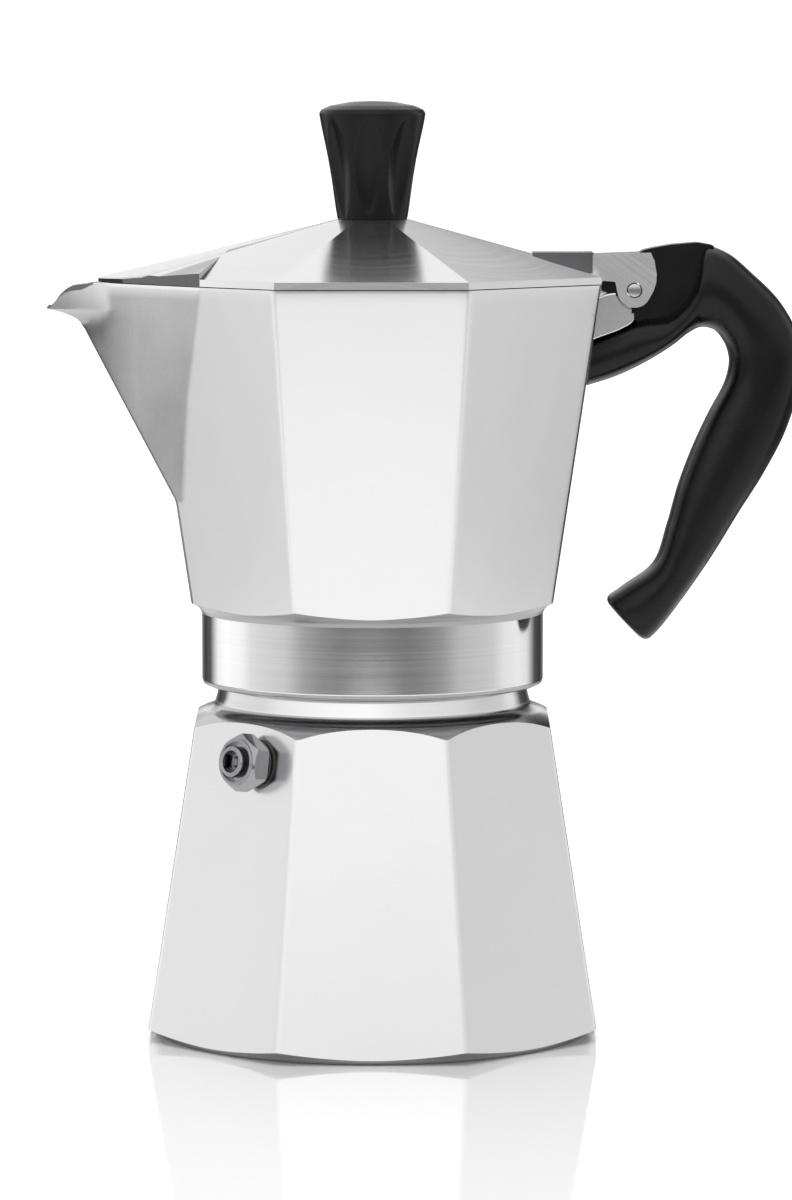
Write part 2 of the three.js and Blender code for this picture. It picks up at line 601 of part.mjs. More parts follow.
function makeHandle() {
  const grip = loft(SECTIONS.map((section) => sectionRing(section)));
  const nose = plate([
    ...hingeArc(4.1, 120, 290, 12), [62.9, 168.6], [63.2, 166], [70, 164], [80, 172], [79.1, 183.6],
    [75.2, 184.3], [69.2, 183.8], [65.2, 183.1], [62.6, 182.5], [60, 180.5],
  ], -PRONG_OUTER, PRONG_OUTER);
  const lugSlot = join(
    block(50, HINGE_X, -PRONG_INNER, PRONG_INNER, HINGE_Z - 5, HINGE_Z + 4.2),
    hingeRod(4.2, PRONG_INNER, 32),
  );
  return mesh('handle', cut(join(grip, nose), lugSlot, hingeRod(PIN_HOLE_R, 10)), moulded(...BAKELITE));
}

// ---------------------------------------------------------------- assembly

const pot = new THREE.Group();
pot.add(makeBoiler());
pot.add(makeValve());
pot.add(makeFunnel());
pot.add(makeSeal());
pot.add(makeCollector());
pot.add(makeColumn());
pot.add(makeLid());
pot.add(makeKnob());
pot.add(mesh('hinge_pin', hingeRod(PIN_R, EAR_OUTER), metal(...STEEL)));
pot.add(makeHandle());

export default pot;
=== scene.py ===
import json
import math

import bmesh
import bpy
import numpy as np
from mathutils import Matrix, Vector


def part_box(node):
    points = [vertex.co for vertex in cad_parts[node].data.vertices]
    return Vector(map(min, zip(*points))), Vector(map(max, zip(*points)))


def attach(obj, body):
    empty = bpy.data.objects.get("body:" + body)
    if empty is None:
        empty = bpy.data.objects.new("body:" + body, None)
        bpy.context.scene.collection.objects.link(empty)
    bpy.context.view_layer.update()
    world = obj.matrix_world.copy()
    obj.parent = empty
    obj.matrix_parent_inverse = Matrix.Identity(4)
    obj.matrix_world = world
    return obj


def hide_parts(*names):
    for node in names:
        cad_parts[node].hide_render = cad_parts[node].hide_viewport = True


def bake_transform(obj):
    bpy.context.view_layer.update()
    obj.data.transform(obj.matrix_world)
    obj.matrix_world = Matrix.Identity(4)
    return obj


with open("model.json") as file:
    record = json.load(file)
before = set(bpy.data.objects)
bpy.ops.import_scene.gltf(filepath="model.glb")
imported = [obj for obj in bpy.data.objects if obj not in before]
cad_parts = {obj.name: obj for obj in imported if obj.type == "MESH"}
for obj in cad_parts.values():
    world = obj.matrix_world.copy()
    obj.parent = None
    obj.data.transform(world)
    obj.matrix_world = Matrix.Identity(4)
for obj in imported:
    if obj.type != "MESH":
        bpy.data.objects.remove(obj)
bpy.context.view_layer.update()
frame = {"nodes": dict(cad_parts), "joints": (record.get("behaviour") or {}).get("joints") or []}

# The eight-sided stovetop coffee pot's looks. Shapes are made in millimetres in the CAD's own
# frame, and turned into metres when they are placed.

MM = 0.001
EIGHTH = math.pi / 8
CORNER = 1 / math.cos(EIGHTH)  # corner radius of an octagon per unit of apothem


def low(node, axis):
    """The lowest coordinate of a CAD node, in millimetres."""
    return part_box(node)[0][axis] / MM


def high(node, axis):
    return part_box(node)[1][axis] / MM


X, Y, Z = 0, 1, 2

# ------------------------------------------------------------------ sizes, in millimetres

GAP = 0.3  # between the CAD's pieces that touch
LID_GAP = 0.08  # between the rim and the lid

BOILER_APOTHEM = 52.3
BOILER_TAPER = 0.1534
FOOT_R = 50.2
SHOULDER_TOP = 80.1
NECK_FOOT = 82.6  # where the leaning foot of the neck meets its thread
NECK_R = 35.4
NECK_BORE_R = 31.8
NECK_TOP = high("boiler", Z)
THREAD_PITCH = 3.0
THREAD_DEPTH = 0.8

COLLAR_R = 39.8
COLLAR_BOTTOM = low("collector", Z)
COLLAR_BORE_R = 37.0
COLLAR_TOP = 98.6
GASKET_SEAT_R = 36.3
FLOOR_UNDERSIDE = 98.8
FLOOR_TOP = 102.5
RIM_Z = 175.2
RIM_APOTHEM = 52.4
BODY_TAPER = 0.1456
WALL = 3.1

SPOUT_ROOT_Z = 125.4
SPOUT_SIDE = Vector((-38.9, -35.2, RIM_Z))
KEEL_TIP = Vector((-67.5, 0, 165.2))
KEEL_HALF_LEAST = 1.0
LIP_TIP_X = low("collector", X)

HINGE = [c / MM for c in next(j for j in frame["joints"] if j["name"] == "lid_hinge")["pos_m"]]
PIN_R = 1.6
PIN_HOLE_R = 1.85
EAR_OUTER = high("hinge_pin", Y)
LUG_HALF = 1.65


# ------------------------------------------------------------------ mesh tools

def new_object(name, bm):
    bmesh.ops.remove_doubles(bm, verts=bm.verts, dist=1e-4)
    bmesh.ops.dissolve_degenerate(bm, edges=bm.edges, dist=1e-4)
    bmesh.ops.recalc_face_normals(bm, faces=bm.faces)
    mesh = bpy.data.meshes.new(name)
    bm.to_mesh(mesh)
    bm.free()
    made = bpy.data.objects.new(name, mesh)
    bpy.context.scene.collection.objects.link(made)
    return made


def stack(name, rows, wrap=False):
    """A closed skin through rows of points. The ends are capped unless the rows wrap round."""
    rows = np.asarray(rows, float)
    count, width = rows.shape[:2]
    bm = bmesh.new()
    verts = [bm.verts.new(p) for p in rows.reshape(-1, 3)]
    pairs = [(i, (i + 1) % count) for i in range(count if wrap else count - 1)]
    for a, b in pairs:
        for k in range(width):
            n = (k + 1) % width
            corners = (a * width + k, a * width + n, b * width + n, b * width + k)
            bm.faces.new([verts[corner] for corner in corners])
    if not wrap:
        bm.faces.new(verts[:width])
        bm.faces.new(verts[-width:])
    return new_object(name, bm)


def eased(points, reach, steps=4, closed=False):
    """A line with each corner rounded: the curve leaves the line at reach, or less on a short side."""
    points = [np.asarray(p, float) for p in points]
    count = len(points)
    out = []
    for i, p in enumerate(points):
        if not closed and i in (0, count - 1):
            out.append(p)
            continue
        before, after = points[i - 1] - p, points[(i + 1) % count] - p
        a, b = np.linalg.norm(before), np.linalg.norm(after)
        cut = min(reach, 0.45 * a, 0.45 * b)
        start, end = p + before * cut / a, p + after * cut / b
        for t in np.linspace(0, 1, steps + 1):
            out.append((1 - t) ** 2 * start + 2 * t * (1 - t) * p + t * t * end)
    return out


def lathe(name, profile, round_by=0.2, closed=False, segments=160, steps=3):
    """A turned solid about Z from [radius, height] points."""
    line = np.array(eased(profile, round_by, steps, closed))
    angle = np.linspace(0, 2 * math.pi, segments, endpoint=False)
    rows = [np.stack([r * np.cos(angle), r * np.sin(angle), np.full(segments, z)], 1) for r, z in line]
    return stack(name, rows, wrap=closed)


def tube(name, inner, outer, z0, z1, round_by=0.2, segments=160):
    profile = [[inner, z0], [outer, z0], [outer, z1], [inner, z1]]
    return lathe(name, profile, round_by, closed=True, segments=segments)


def drum(name, r, z0, z1, round_by=0.2, segments=64):
    return lathe(name, [[0, z0], [r, z0], [r, z1], [0, z1]], round_by, segments=segments)


def rod(name, r, half, x, z, segments=64):
    """A rod along Y."""
    made = drum(name, r, -half, half, 0, segments)
    made.data.transform(Matrix.Translation((x, 0, z)) @ Matrix.Rotation(math.pi / 2, 4, "X"))
    return made


def bevelled(bm, reach, steps=3, least_angle=8, hollows=True):
    """Rounds the edges sharper than least_angle degrees, the hollow ones only if asked."""
    bmesh.ops.dissolve_limit(bm, angle_limit=math.radians(0.5), verts=bm.verts, edges=bm.edges)
    least = math.radians(least_angle)
    edges = [e for e in bm.edges if len(e.link_faces) == 2 and e.calc_face_angle(0) > least
             and (hollows or e.is_convex)]
    bmesh.ops.bevel(bm, geom=edges, offset=reach, offset_type="OFFSET", segments=steps, profile=0.5,
                    affect="EDGES", clamp_overlap=True)


def hull(name, points, reach=0.4, steps=3):
    bm = bmesh.new()
    for p in points:
        bm.verts.new(p)
    found = bmesh.ops.convex_hull(bm, input=bm.verts)
    spare = found["geom_interior"] + found["geom_unused"]
    loose = {v for v in spare if isinstance(v, bmesh.types.BMVert)}
    bmesh.ops.delete(bm, geom=list(loose), context="VERTS")
    if reach:
        bevelled(bm, reach, steps)
    return new_object(name, bm)


def plate(name, outline, y0, y1, reach=0.3, ease=0.6):
    """A plate whose outline is [x, z] points, with its edges rounded."""
    line = eased(outline, ease, 4, closed=True)
    bm = bmesh.new()
    face = bm.faces.new([bm.verts.new((x, y0, z)) for x, z in line])
    grown = bmesh.ops.extrude_face_region(bm, geom=[face])
    moved = [v for v in grown["geom"] if isinstance(v, bmesh.types.BMVert)]
    bmesh.ops.translate(bm, verts=moved, vec=(0, y1 - y0, 0))
    bmesh.ops.recalc_face_normals(bm, faces=bm.faces)
    if reach:
        flat = lambda e: all(abs(v.co.y - e.verts[0].co.y) < 1e-4 for v in e.verts)
        bmesh.ops.bevel(bm, geom=[e for e in bm.edges if flat(e)], offset=reach, offset_type="OFFSET",
                        segments=3, profile=0.5, affect="EDGES", clamp_overlap=True)
    return new_object(name, bm)


def block(name, lo, hi, reach=0):
    """A box between two corners."""
    points = [(x, y, z) for x in (lo[0], hi[0]) for y in (lo[1], hi[1]) for z in (lo[2], hi[2])]
    return hull(name, points, reach)


def evaluated_mesh(obj):
    """The object's mesh with its modifiers applied."""
    return bpy.data.meshes.new_from_object(obj.evaluated_get(bpy.context.evaluated_depsgraph_get()))


def combine(target, operation, others):
    """Joins others to target, cuts them from it or keeps what they share, and removes them."""
    for other in others:
        step = target.modifiers.new("step", "BOOLEAN")
        step.operation, step.solver, step.object = operation, "MANIFOLD", other
        bpy.context.view_layer.update()
        made = evaluated_mesh(target)
        target.modifiers.clear()
        old, target.data = target.data, made
        bpy.data.meshes.remove(old)
        bpy.data.objects.remove(other)
    return target


def join(target, *others):
    return combine(target, "UNION", others)


def cut(target, *others):
    return combine(target, "DIFFERENCE", others)


def keep(target, *others):
    return combine(target, "INTERSECT", others)


def place(obj, node, body, slot, *materials, sharp=32):
    """Puts a finished millimetre mesh in the frame in place of its CAD node."""
    bm = bmesh.new()
    bm.from_mesh(obj.data)
    bmesh.ops.remove_doubles(bm, verts=bm.verts, dist=2e-4)
    bmesh.ops.dissolve_degenerate(bm, edges=bm.edges, dist=2e-4)
    bm.to_mesh(obj.data)
    bm.free()
    obj.data.transform(Matrix.Scale(MM, 4))
    obj.data.shade_smooth()
    obj.data.set_sharp_from_angle(angle=math.radians(sharp))
    weigh = obj.modifiers.new("weigh", "WEIGHTED_NORMAL")
    weigh.keep_sharp = True
    weigh.weight = 80
    bpy.context.view_layer.update()
    made = evaluated_mesh(obj)
    obj.modifiers.clear()
    old, obj.data = obj.data, made
    bpy.data.meshes.remove(old)
    obj.name = "visual_" + node
    obj.data.materials.clear()
    for material in materials:
        obj.data.materials.append(material)
    if body:
        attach(obj, body)
    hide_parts(node)
    return obj


def paint(obj, index, test):
    """Gives the faces whose centre passes the test, in millimetres, the material with that index."""
    for face in obj.data.polygons:
        if test(face.center / MM, face.normal):
            face.material_index = index


def spline(points, count):
    """A smooth line through points, evenly spread over their chords."""
    points = np.asarray(points, float)
    step = np.linalg.norm(np.diff(points, axis=0), axis=1) ** 0.7
    at = np.concatenate([[0], np.cumsum(step)])
    slope = np.gradient(points, at, axis=0)
    t = np.linspace(0, at[-1], count)
    i = np.clip(np.searchsorted(at, t, side="right") - 1, 0, len(points) - 2)
    h = (at[i + 1] - at[i])[:, None]
    s = ((t - at[i])[:, None]) / h
    return ((2 * s**3 - 3 * s**2 + 1) * points[i] + (s**3 - 2 * s**2 + s) * h * slope[i]
            + (-2 * s**3 + 3 * s**2) * points[i + 1] + (s**3 - s**2) * h * slope[i + 1])


def smoothstep(a, b, x):
    t = np.clip((np.asarray(x, float) - a) / (b - a), 0, 1)
    return t * t * (3 - 2 * t)


# ------------------------------------------------------------------ materials

class Nodes:
    """A short way to write a material's nodes."""

    def __init__(self, name):
        self.material = bpy.data.materials.new(name)
        self.material.use_nodes = True
        self.tree = self.material.node_tree
        self.shader = self.tree.nodes["Principled BSDF"]
        self.place = self.add("ShaderNodeTexCoord").outputs["Object"]

    def add(self, kind, **inputs):
        node = self.tree.nodes.new(kind)
        for key, value in inputs.items():
            self.put(node, key, value)
        return node

    def put(self, node, key, value):
        socket = node.inputs[int(key[1:])] if key[0] == "i" and key[1:].isdigit() else node.inputs[key]
        if isinstance(value, bpy.types.NodeSocket):
            self.tree.links.new(value, socket)
        else:
            socket.default_value = value

    def scaled(self, scale):
        node = self.add("ShaderNodeVectorMath", i0=self.place, i1=scale)
        node.operation = "MULTIPLY"
        return node.outputs[0]

    def turned(self, across, along):
        """Coordinates in which a turning line is one value: radius, height and a little angle."""
        flat = self.scaled((1, 1, 0))
        length = self.add("ShaderNodeVectorMath", i0=flat)
        length.operation = "LENGTH"
        parts = self.add("ShaderNodeSeparateXYZ", Vector=self.place)
        line = self.math("ADD", length.outputs["Value"], self.math("MULTIPLY", parts.outputs["Z"], 1.37))
        lines = self.math("MULTIPLY", line, across)
        x = self.math("MULTIPLY", parts.outputs["X"], along)
        y = self.math("MULTIPLY", parts.outputs["Y"], along)
        return self.add("ShaderNodeCombineXYZ", X=lines, Y=x, Z=y).outputs[0]

    def math(self, operation, a, b=0.0):
        node = self.add("ShaderNodeMath", i0=a, i1=b)
        node.operation = operation
        return node.outputs[0]

    def noise(self, vector, scale, detail=3.0, rough=0.55):
        node = self.add("ShaderNodeTexNoise", Vector=vector, Scale=scale, Detail=detail, Roughness=rough)
        return node.outputs["Fac"]

    def spread(self, value, low_out, high_out, low_in=0.3, high_in=0.7):
        node = self.add("ShaderNodeMapRange", Value=value)
        span = (("From Min", low_in), ("From Max", high_in), ("To Min", low_out), ("To Max", high_out))
        for key, number in span:
            node.inputs[key].default_value = number
        return node.outputs["Result"]

    def blend(self, value, dark, light):
        ramp = self.add("ShaderNodeValToRGB", Fac=value)
        ramp.color_ramp.elements[0].position, ramp.color_ramp.elements[1].position = 0.32, 0.68
        ramp.color_ramp.elements[0].color, ramp.color_ramp.elements[1].color = (*dark, 1), (*light, 1)
        return ramp.outputs["Color"]

    def bump(self, *layers):
        """Layers are (height, strength, distance in metres), the widest first."""
        normal = None
        for height, strength, distance in layers:
            node = self.add("ShaderNodeBump", Height=height, Strength=strength, Distance=distance)
            if normal is not None:
                self.tree.links.new(normal, node.inputs["Normal"])
            normal = node.outputs["Normal"]
        self.tree.links.new(normal, self.shader.inputs["Normal"])

    def set(self, **values):
        for key, value in values.items():
            self.put(self.shader, key.replace("_", " "), value)
        return self.material


def cast_metal(name, tint=(0.815, 0.815, 0.82), rough=(0.20, 0.25), grain=0.05, painted_shade=None):
    """Cast or plated metal, with an optional painted shade that darkens its colour by a share: wholly
    below X0 and Z0, in metres, and not at all above X1 or Z1.
    """
    n = Nodes(name)
    broad = n.noise(n.place, 45, 2)
    fine = n.noise(n.place, 1500, 2, 0.5)
    n.bump((broad, 0.05, 0.0008), (fine, grain, 0.00002))
    mixed = n.math("ADD", n.math("MULTIPLY", broad, 0.6), n.math("MULTIPLY", fine, 0.4))
    dark = tuple(c * 0.975 for c in tint)
    colour = n.blend(mixed, dark, tint)
    if painted_shade:
        # Painted shade: the colour is darkened by the share, fading out above X1 and Z1.
        x0, x1, z0, z1, share = painted_shade
        parts = n.add("ShaderNodeSeparateXYZ", Vector=n.place)
        along = n.spread(parts.outputs["X"], share, 0, x0, x1)
        below = n.spread(parts.outputs["Z"], 1, 0, z0, z1)
        scale = n.math("SUBTRACT", 1.0, n.math("MULTIPLY", along, below))
        node = n.add("ShaderNodeVectorMath", i0=colour)
        node.operation = "SCALE"
        n.put(node, "Scale", scale)
        colour = node.outputs[0]
    return n.set(Base_Color=colour, Metallic=1.0, Roughness=n.spread(mixed, *rough))


def turned_metal(name, tint=(0.80, 0.80, 0.805), rough=(0.08, 0.14), lines=9000, anisotropic=0.35, depth=1.0):
    """Metal with fine lines round Z, which draw its reflections out across the lines."""
    n = Nodes(name)
    fine = n.noise(n.turned(lines, 12), 1, 2, 0.7)
    wide = n.noise(n.turned(lines / 9, 6), 1, 2, 0.6)
    n.bump((wide, 0.05 * depth, 0.00006), (fine, 0.07 * depth, 0.00002))
    mixed = n.math("ADD", n.math("MULTIPLY", fine, 0.6), n.math("MULTIPLY", wide, 0.4))
    around = n.add("ShaderNodeTangent")
    around.direction_type, around.axis = "RADIAL", "Z"
    n.tree.links.new(around.outputs[0], n.shader.inputs["Tangent"])
    dark = tuple(c * 0.93 for c in tint)
    return n.set(Base_Color=n.blend(mixed, dark, tint), Metallic=1.0, Roughness=n.spread(mixed, *rough),
                 Anisotropic=anisotropic, Anisotropic_Rotation=0.25)


def black_moulding(name):
    n = Nodes(name)
    swell = n.noise(n.place, 90, 2)
    fine = n.noise(n.place, 1800, 3)
    n.bump((swell, 0.03, 0.0005), (fine, 0.02, 0.00002))
    return n.set(Base_Color=n.blend(fine, (0.0025, 0.0025, 0.0027), (0.0045, 0.0045, 0.0048)),
                 Roughness=n.spread(swell, 0.24, 0.32), Specular_IOR_Level=0.27)


def soft_material(name, dark, light, rough=(0.5, 0.7)):
    n = Nodes(name)
    wide = n.noise(n.place, 300, 3)
    fine = n.noise(n.place, 3000, 3)
    n.bump((wide, 0.15, 0.0002), (fine, 0.2, 0.00005))
    return n.set(Base_Color=n.blend(wide, dark, light), Roughness=n.spread(fine, *rough))


CAST = cast_metal("cast_aluminium")
# A copy with painted shade: darker out towards the pouring lip and below the rim.
CAST_LIP_PAINTED_SHADE = cast_metal("cast_aluminium_lip_painted_shade", painted_shade=(-0.0625, -0.0545, 0.1665, 0.1750, 0.48))
BRUSHED = turned_metal("brushed_aluminium", (0.815, 0.815, 0.82), (0.165, 0.215), 5200, 0.75, 0.8)
# Painted shade: a darker copy of the brushed metal for the roof of the lid's beak.
BRUSHED_BEAK_PAINTED_SHADE = turned_metal("brushed_beak_painted_shade", (0.45, 0.45, 0.455), (0.165, 0.215), 5200, 0.75, 0.8)
# Painted shade: dark grey metal for the faces under the hinge bracket, the lid's rib sides and the lip's top
# edge.
PAINTED_SHADE_METAL = cast_metal("painted_shade_cast", (0.16, 0.16, 0.165), (0.38, 0.50), 0.15)
# Painted shade for the walls of the lid's beak, with a painted near-black shadow at the beak's tip.
PAINTED_SHADE_METAL_BEAK = cast_metal("painted_shade_cast_beak", (0.16, 0.16, 0.165), (0.38, 0.50), 0.15,
                      painted_shade=(-0.0577, -0.0570, 0.3, 0.4, 0.93))
TURNED = turned_metal("turned_aluminium")
# Painted shade: a darker copy of the turned metal for the downward faces at the collar's edges.
UNDERCUT_PAINTED_SHADE = turned_metal("undercut_painted_shade", (0.42, 0.42, 0.425), (0.25, 0.34), 6000, 0.3)
# Painted shade: a darker copy of the turned metal for the boiler's shoulder.
SHOULDER_PAINTED_SHADE = turned_metal("turned_shoulder_painted_shade", (0.50, 0.50, 0.505), (0.16, 0.24), 7000, 0.3)
SPUN = turned_metal("spun_aluminium", (0.74, 0.74, 0.75), (0.20, 0.30), 5000, 0.3)
STEEL = cast_metal("plated_steel", (0.60, 0.61, 0.63), (0.14, 0.22))
DARK_NICKEL = cast_metal("dark_nickel", (0.34, 0.34, 0.35), (0.12, 0.20))
DARK_STEEL = cast_metal("spring_steel", (0.20, 0.20, 0.21), (0.25, 0.38))
BRASS = turned_metal("brass", (0.62, 0.46, 0.22), (0.22, 0.36), 7000, 0.2)
BLACK = black_moulding("black_moulding")
RUBBER = soft_material("white_rubber", (0.70, 0.68, 0.62), (0.80, 0.785, 0.74))
FIBRE = soft_material("fibre_seal", (0.030, 0.027, 0.025), (0.055, 0.050, 0.045))


# ------------------------------------------------------------------ eight-sided sections

def ring_through(corners, reach=0.8, across=14, steps=5):
    """Points round a convex outline with eased corners, the same number for any outline."""
    corners = np.asarray(corners, float)
    count = len(corners)
    spots = [0, 0.03] + list(np.linspace(0, 1, across + 2)[1:-1]) + [0.97]
    out = []
    for i, p in enumerate(corners):
        before, after = corners[i - 1] - p, corners[(i + 1) % count] - p
        a, b = np.linalg.norm(before), np.linalg.norm(after)
        start = p + before / a * min(reach, 0.4 * a)
        end = p + after / b * min(reach, 0.4 * b)
        for t in np.linspace(0, 1, steps + 1)[:-1]:
            out.append((1 - t) ** 2 * start + 2 * t * (1 - t) * p + t * t * end)
        following = corners[(i + 1) % count]
        stop = following - after / b * min(reach, 0.4 * b)
        out += [end + (stop - end) * s for s in spots]
    return np.array(out)


def octagon_corners(apothem):
    angles = [EIGHTH * (2 * k - 1) for k in range(8)]
    return np.array([[apothem * CORNER * math.cos(a), apothem * CORNER * math.sin(a)] for a in angles])


def raised(ring, z):
    return np.column_stack([ring, np.full(len(ring), z)])


def octagon(name, apothem0, apothem1, z0, z1, reach=0.8):
    return stack(name, [raised(ring_through(octagon_corners(a), reach), z) for a, z in
                        ((apothem0, z0), (apothem1, z1))])


def boiler_apothem(z):
    return BOILER_APOTHEM - BOILER_TAPER * z


def body_apothem(z):
    return RIM_APOTHEM - BODY_TAPER * (RIM_Z - z)


# ------------------------------------------------------------------ boiler

def threaded_neck():
    """The neck with its one rolled thread, as rows of rings."""
    segments = 240
    angle = np.linspace(0, 2 * math.pi, segments, endpoint=False)
    start, turns = SHOULDER_TOP + 1.6, 2.7
    rows = [np.stack([0 * angle, 0 * angle, np.full(segments, SHOULDER_TOP - 2)], 1)]
    for z in np.linspace(SHOULDER_TOP - 2, NECK_TOP - 0.6, 90):
        lead = (z - start) / THREAD_PITCH - angle / (2 * math.pi)
        turn = np.round(lead)
        along = turn + angle / (2 * math.pi)
        fade = smoothstep(-0.02, 0.12, along) * (1 - smoothstep(turns - 0.15, turns, along))
        crest = smoothstep(0.34, 0.10, np.abs(lead - turn))
        r = NECK_R + THREAD_DEPTH * crest * fade
        rows.append(np.stack([r * np.cos(angle), r * np.sin(angle), np.full(segments, z)], 1))
    for r, z in ((NECK_R - 0.15, NECK_TOP - 0.2), (NECK_R - 0.6, NECK_TOP), (0, NECK_TOP)):
        rows.append(np.stack([r * np.cos(angle), r * np.sin(angle), np.full(segments, z)], 1))
    return stack("neck", rows)


def valve_frame():
    """The valve's own frame: Z out of the facet, from the joint's axis and the washer's place."""
    out = Vector(next(j for j in frame["joints"] if j["name"] == "valve_slide")["axis"]).normalized()
    side = Vector((math.sqrt(0.5), -math.sqrt(0.5), 0))
    up = out.cross(side)
    lo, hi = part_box("valve_washer")
    at = (lo + hi) / 2 / MM - out * 0.7
    matrix = Matrix((side, up, out)).transposed().to_4x4()
    matrix.translation = at
    return matrix


VALVE = valve_frame()


def in_valve(obj):
    obj.data.transform(VALVE)
    return obj


def make_boiler():
    facets = octagon("boiler", BOILER_APOTHEM, boiler_apothem(NECK_FOOT), 0, NECK_FOOT, 0.85)
    shoulder = spline([
        [46.5, 71], [44.3, 72.9], [42.2, 74.4], [40.2, 75.5], [38.2, 76.2], [37.0, 77], [36.5, 78.3],
        [36, 80.4], [NECK_R + 0.1, NECK_FOOT],
    ], 30)
    envelope = lathe("envelope", [
        [0, 0], [FOOT_R, 0], [52.3, 1.4], [56.9, 3.4], [58, 6], [58, 60], *shoulder, [0, NECK_FOOT],
    ], 0.5, segments=320)
    inside = lathe("inside", [
        [0, 4], [42, 4], [46, 5.4], [47.2, 8], [38.2, 68], [36.5, 71], [NECK_BORE_R, 76],
        [NECK_BORE_R, NECK_TOP + 1], [0, NECK_TOP + 1],
    ], 1.5, segments=200)
    boss = in_valve(drum("boss", 7.5, -6.5, -1))
    hole = in_valve(drum("hole", 4.3, -12, 2))
    vessel = cut(join(keep(facets, envelope), threaded_neck()), inside)
    made = place(cut(join(vessel, boss), hole), "boiler", "boiler", "cast_aluminium", CAST, TURNED, SHOULDER_PAINTED_SHADE)
    paint(made, 1, lambda c, n: c.z > 71 and (math.hypot(c.x, c.y) < NECK_R + 1.2 or n.z > 0.45))
    # Painted shade on the shoulder's upward faces.
    paint(made, 2, lambda c, n: c.z > 71 and NECK_R + 1.4 < math.hypot(c.x, c.y) and n.z > 0.4)
    paint(made, 1, lambda c, n: c.z < 3.6 and n.z < -0.3)


make_boiler()


# ------------------------------------------------------------------ safety valve

def make_valve():
    flats, back, front, rim_front, nozzle_front = 11.6, 1.4, 6.1, 6.6, 7.9
    radius = flats / 2 / math.cos(math.pi / 6)
    corner = [(radius * math.cos(a), radius * math.sin(a)) for a in np.arange(6) * math.pi / 3]
    nut = hull("nut", [(x, y, z) for x, y in corner for z in (back, front)], 0.18, 2)
    nut.data.transform(Matrix.Rotation(math.pi / 6, 4, "Z"))
    envelope = lathe("envelope", [
        [0, back - 1], [5.7, back - 0.2], [7, back + 0.6],
        [7, front - 1.3], [5.3, front + 0.05], [0, front + 0.05],
    ], 0.2, segments=96)
    groove = tube("groove", 3.5, 4.6, 5.2, 9, 0.15, 96)
    rim = tube("rim", 4.55, 5.35, 4, rim_front, 0.25, 96)
    nozzle = drum("nozzle", 3.5, 3, nozzle_front, 0.35, 96)
    shank = drum("shank", 4, -8, back + 1, 0.3, 96)
    bore = lathe("bore", [
        [0, -9], [3, -9], [3, 4.3], [1.6, 4.3], [1.6, 5.1], [2.45, 5.1], [2.45, 7.4], [2.8, 9], [0, 9],
    ], 0.15, segments=64)
    body = cut(join(cut(keep(nut, envelope), groove), rim, nozzle, shank), bore)
    place(in_valve(body), "valve_body", "boiler", "plated_steel", DARK_NICKEL)
    washer = in_valve(tube("washer", 4.3, 5.6, 0.3, 1.1, 0.2, 64))
    place(washer, "valve_washer", "boiler", "fibre_seal", FIBRE)
    seat = in_valve(tube("seat", 1.5, 2.7, -8, -6.6, 0.15, 48))
    place(seat, "valve_seat", "boiler", "brass", BRASS)
    plunger = in_valve(lathe("plunger", [
        [0, -6.3], [2.5, -6.3], [2.5, -5.3], [1.25, -5.3], [1.25, 6.2], [0.9, 6.7], [0, 6.7],
    ], 0.15, segments=48))
    place(plunger, "valve_plunger", "valve_plunger", "spring_steel", DARK_STEEL)

    turns, coil_r, wire_r, first, length = 7, 2.15, 0.32, -4.55, 8
    t = np.linspace(0, 1, turns * 36 + 1)
    angle = 2 * math.pi * turns * t
    centre = np.stack([coil_r * np.cos(angle), coil_r * np.sin(angle), first + length * t], 1)
    outward = np.stack([np.cos(angle), np.sin(angle), 0 * angle], 1)
    s = np.linspace(0, 2 * math.pi, 12, endpoint=False)
    rows = [c + wire_r * (np.outer(np.cos(s), o) + np.outer(np.sin(s), [0, 0, 1]))
            for c, o in zip(centre, outward)]
    spring = in_valve(stack("spring", rows))
    place(spring, "valve_spring", None, "spring_steel", DARK_STEEL, sharp=60)
    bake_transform(spring)


make_valve()


# ------------------------------------------------------------------ funnel and seals

HOLE_ROWS = [(0, 1)] + [(3.6 * k, 6 * k) for k in range(1, 8)]  # ring radius and number of holes
HOLE_R = 0.75


def sieve(node, segments):
    """A CAD node's disc with rings of round holes through it."""
    lo, hi = low(node, Z), high(node, Z)
    disc = drum("disc", high(node, X), lo, hi, 0.2, segments)
    drills = []
    for r, count in HOLE_ROWS:
        for a in np.arange(count) * 2 * math.pi / count:
            drills.append(drum("drill", HOLE_R, lo - 1, hi + 1, 0, 16))
            drills[-1].data.transform(Matrix.Translation((r * math.cos(a), r * math.sin(a), 0)))
    merged = bmesh.new()
    for drill in drills:
        merged.from_mesh(drill.data)
        bpy.data.objects.remove(drill)
    return cut(disc, new_object("drills", merged))


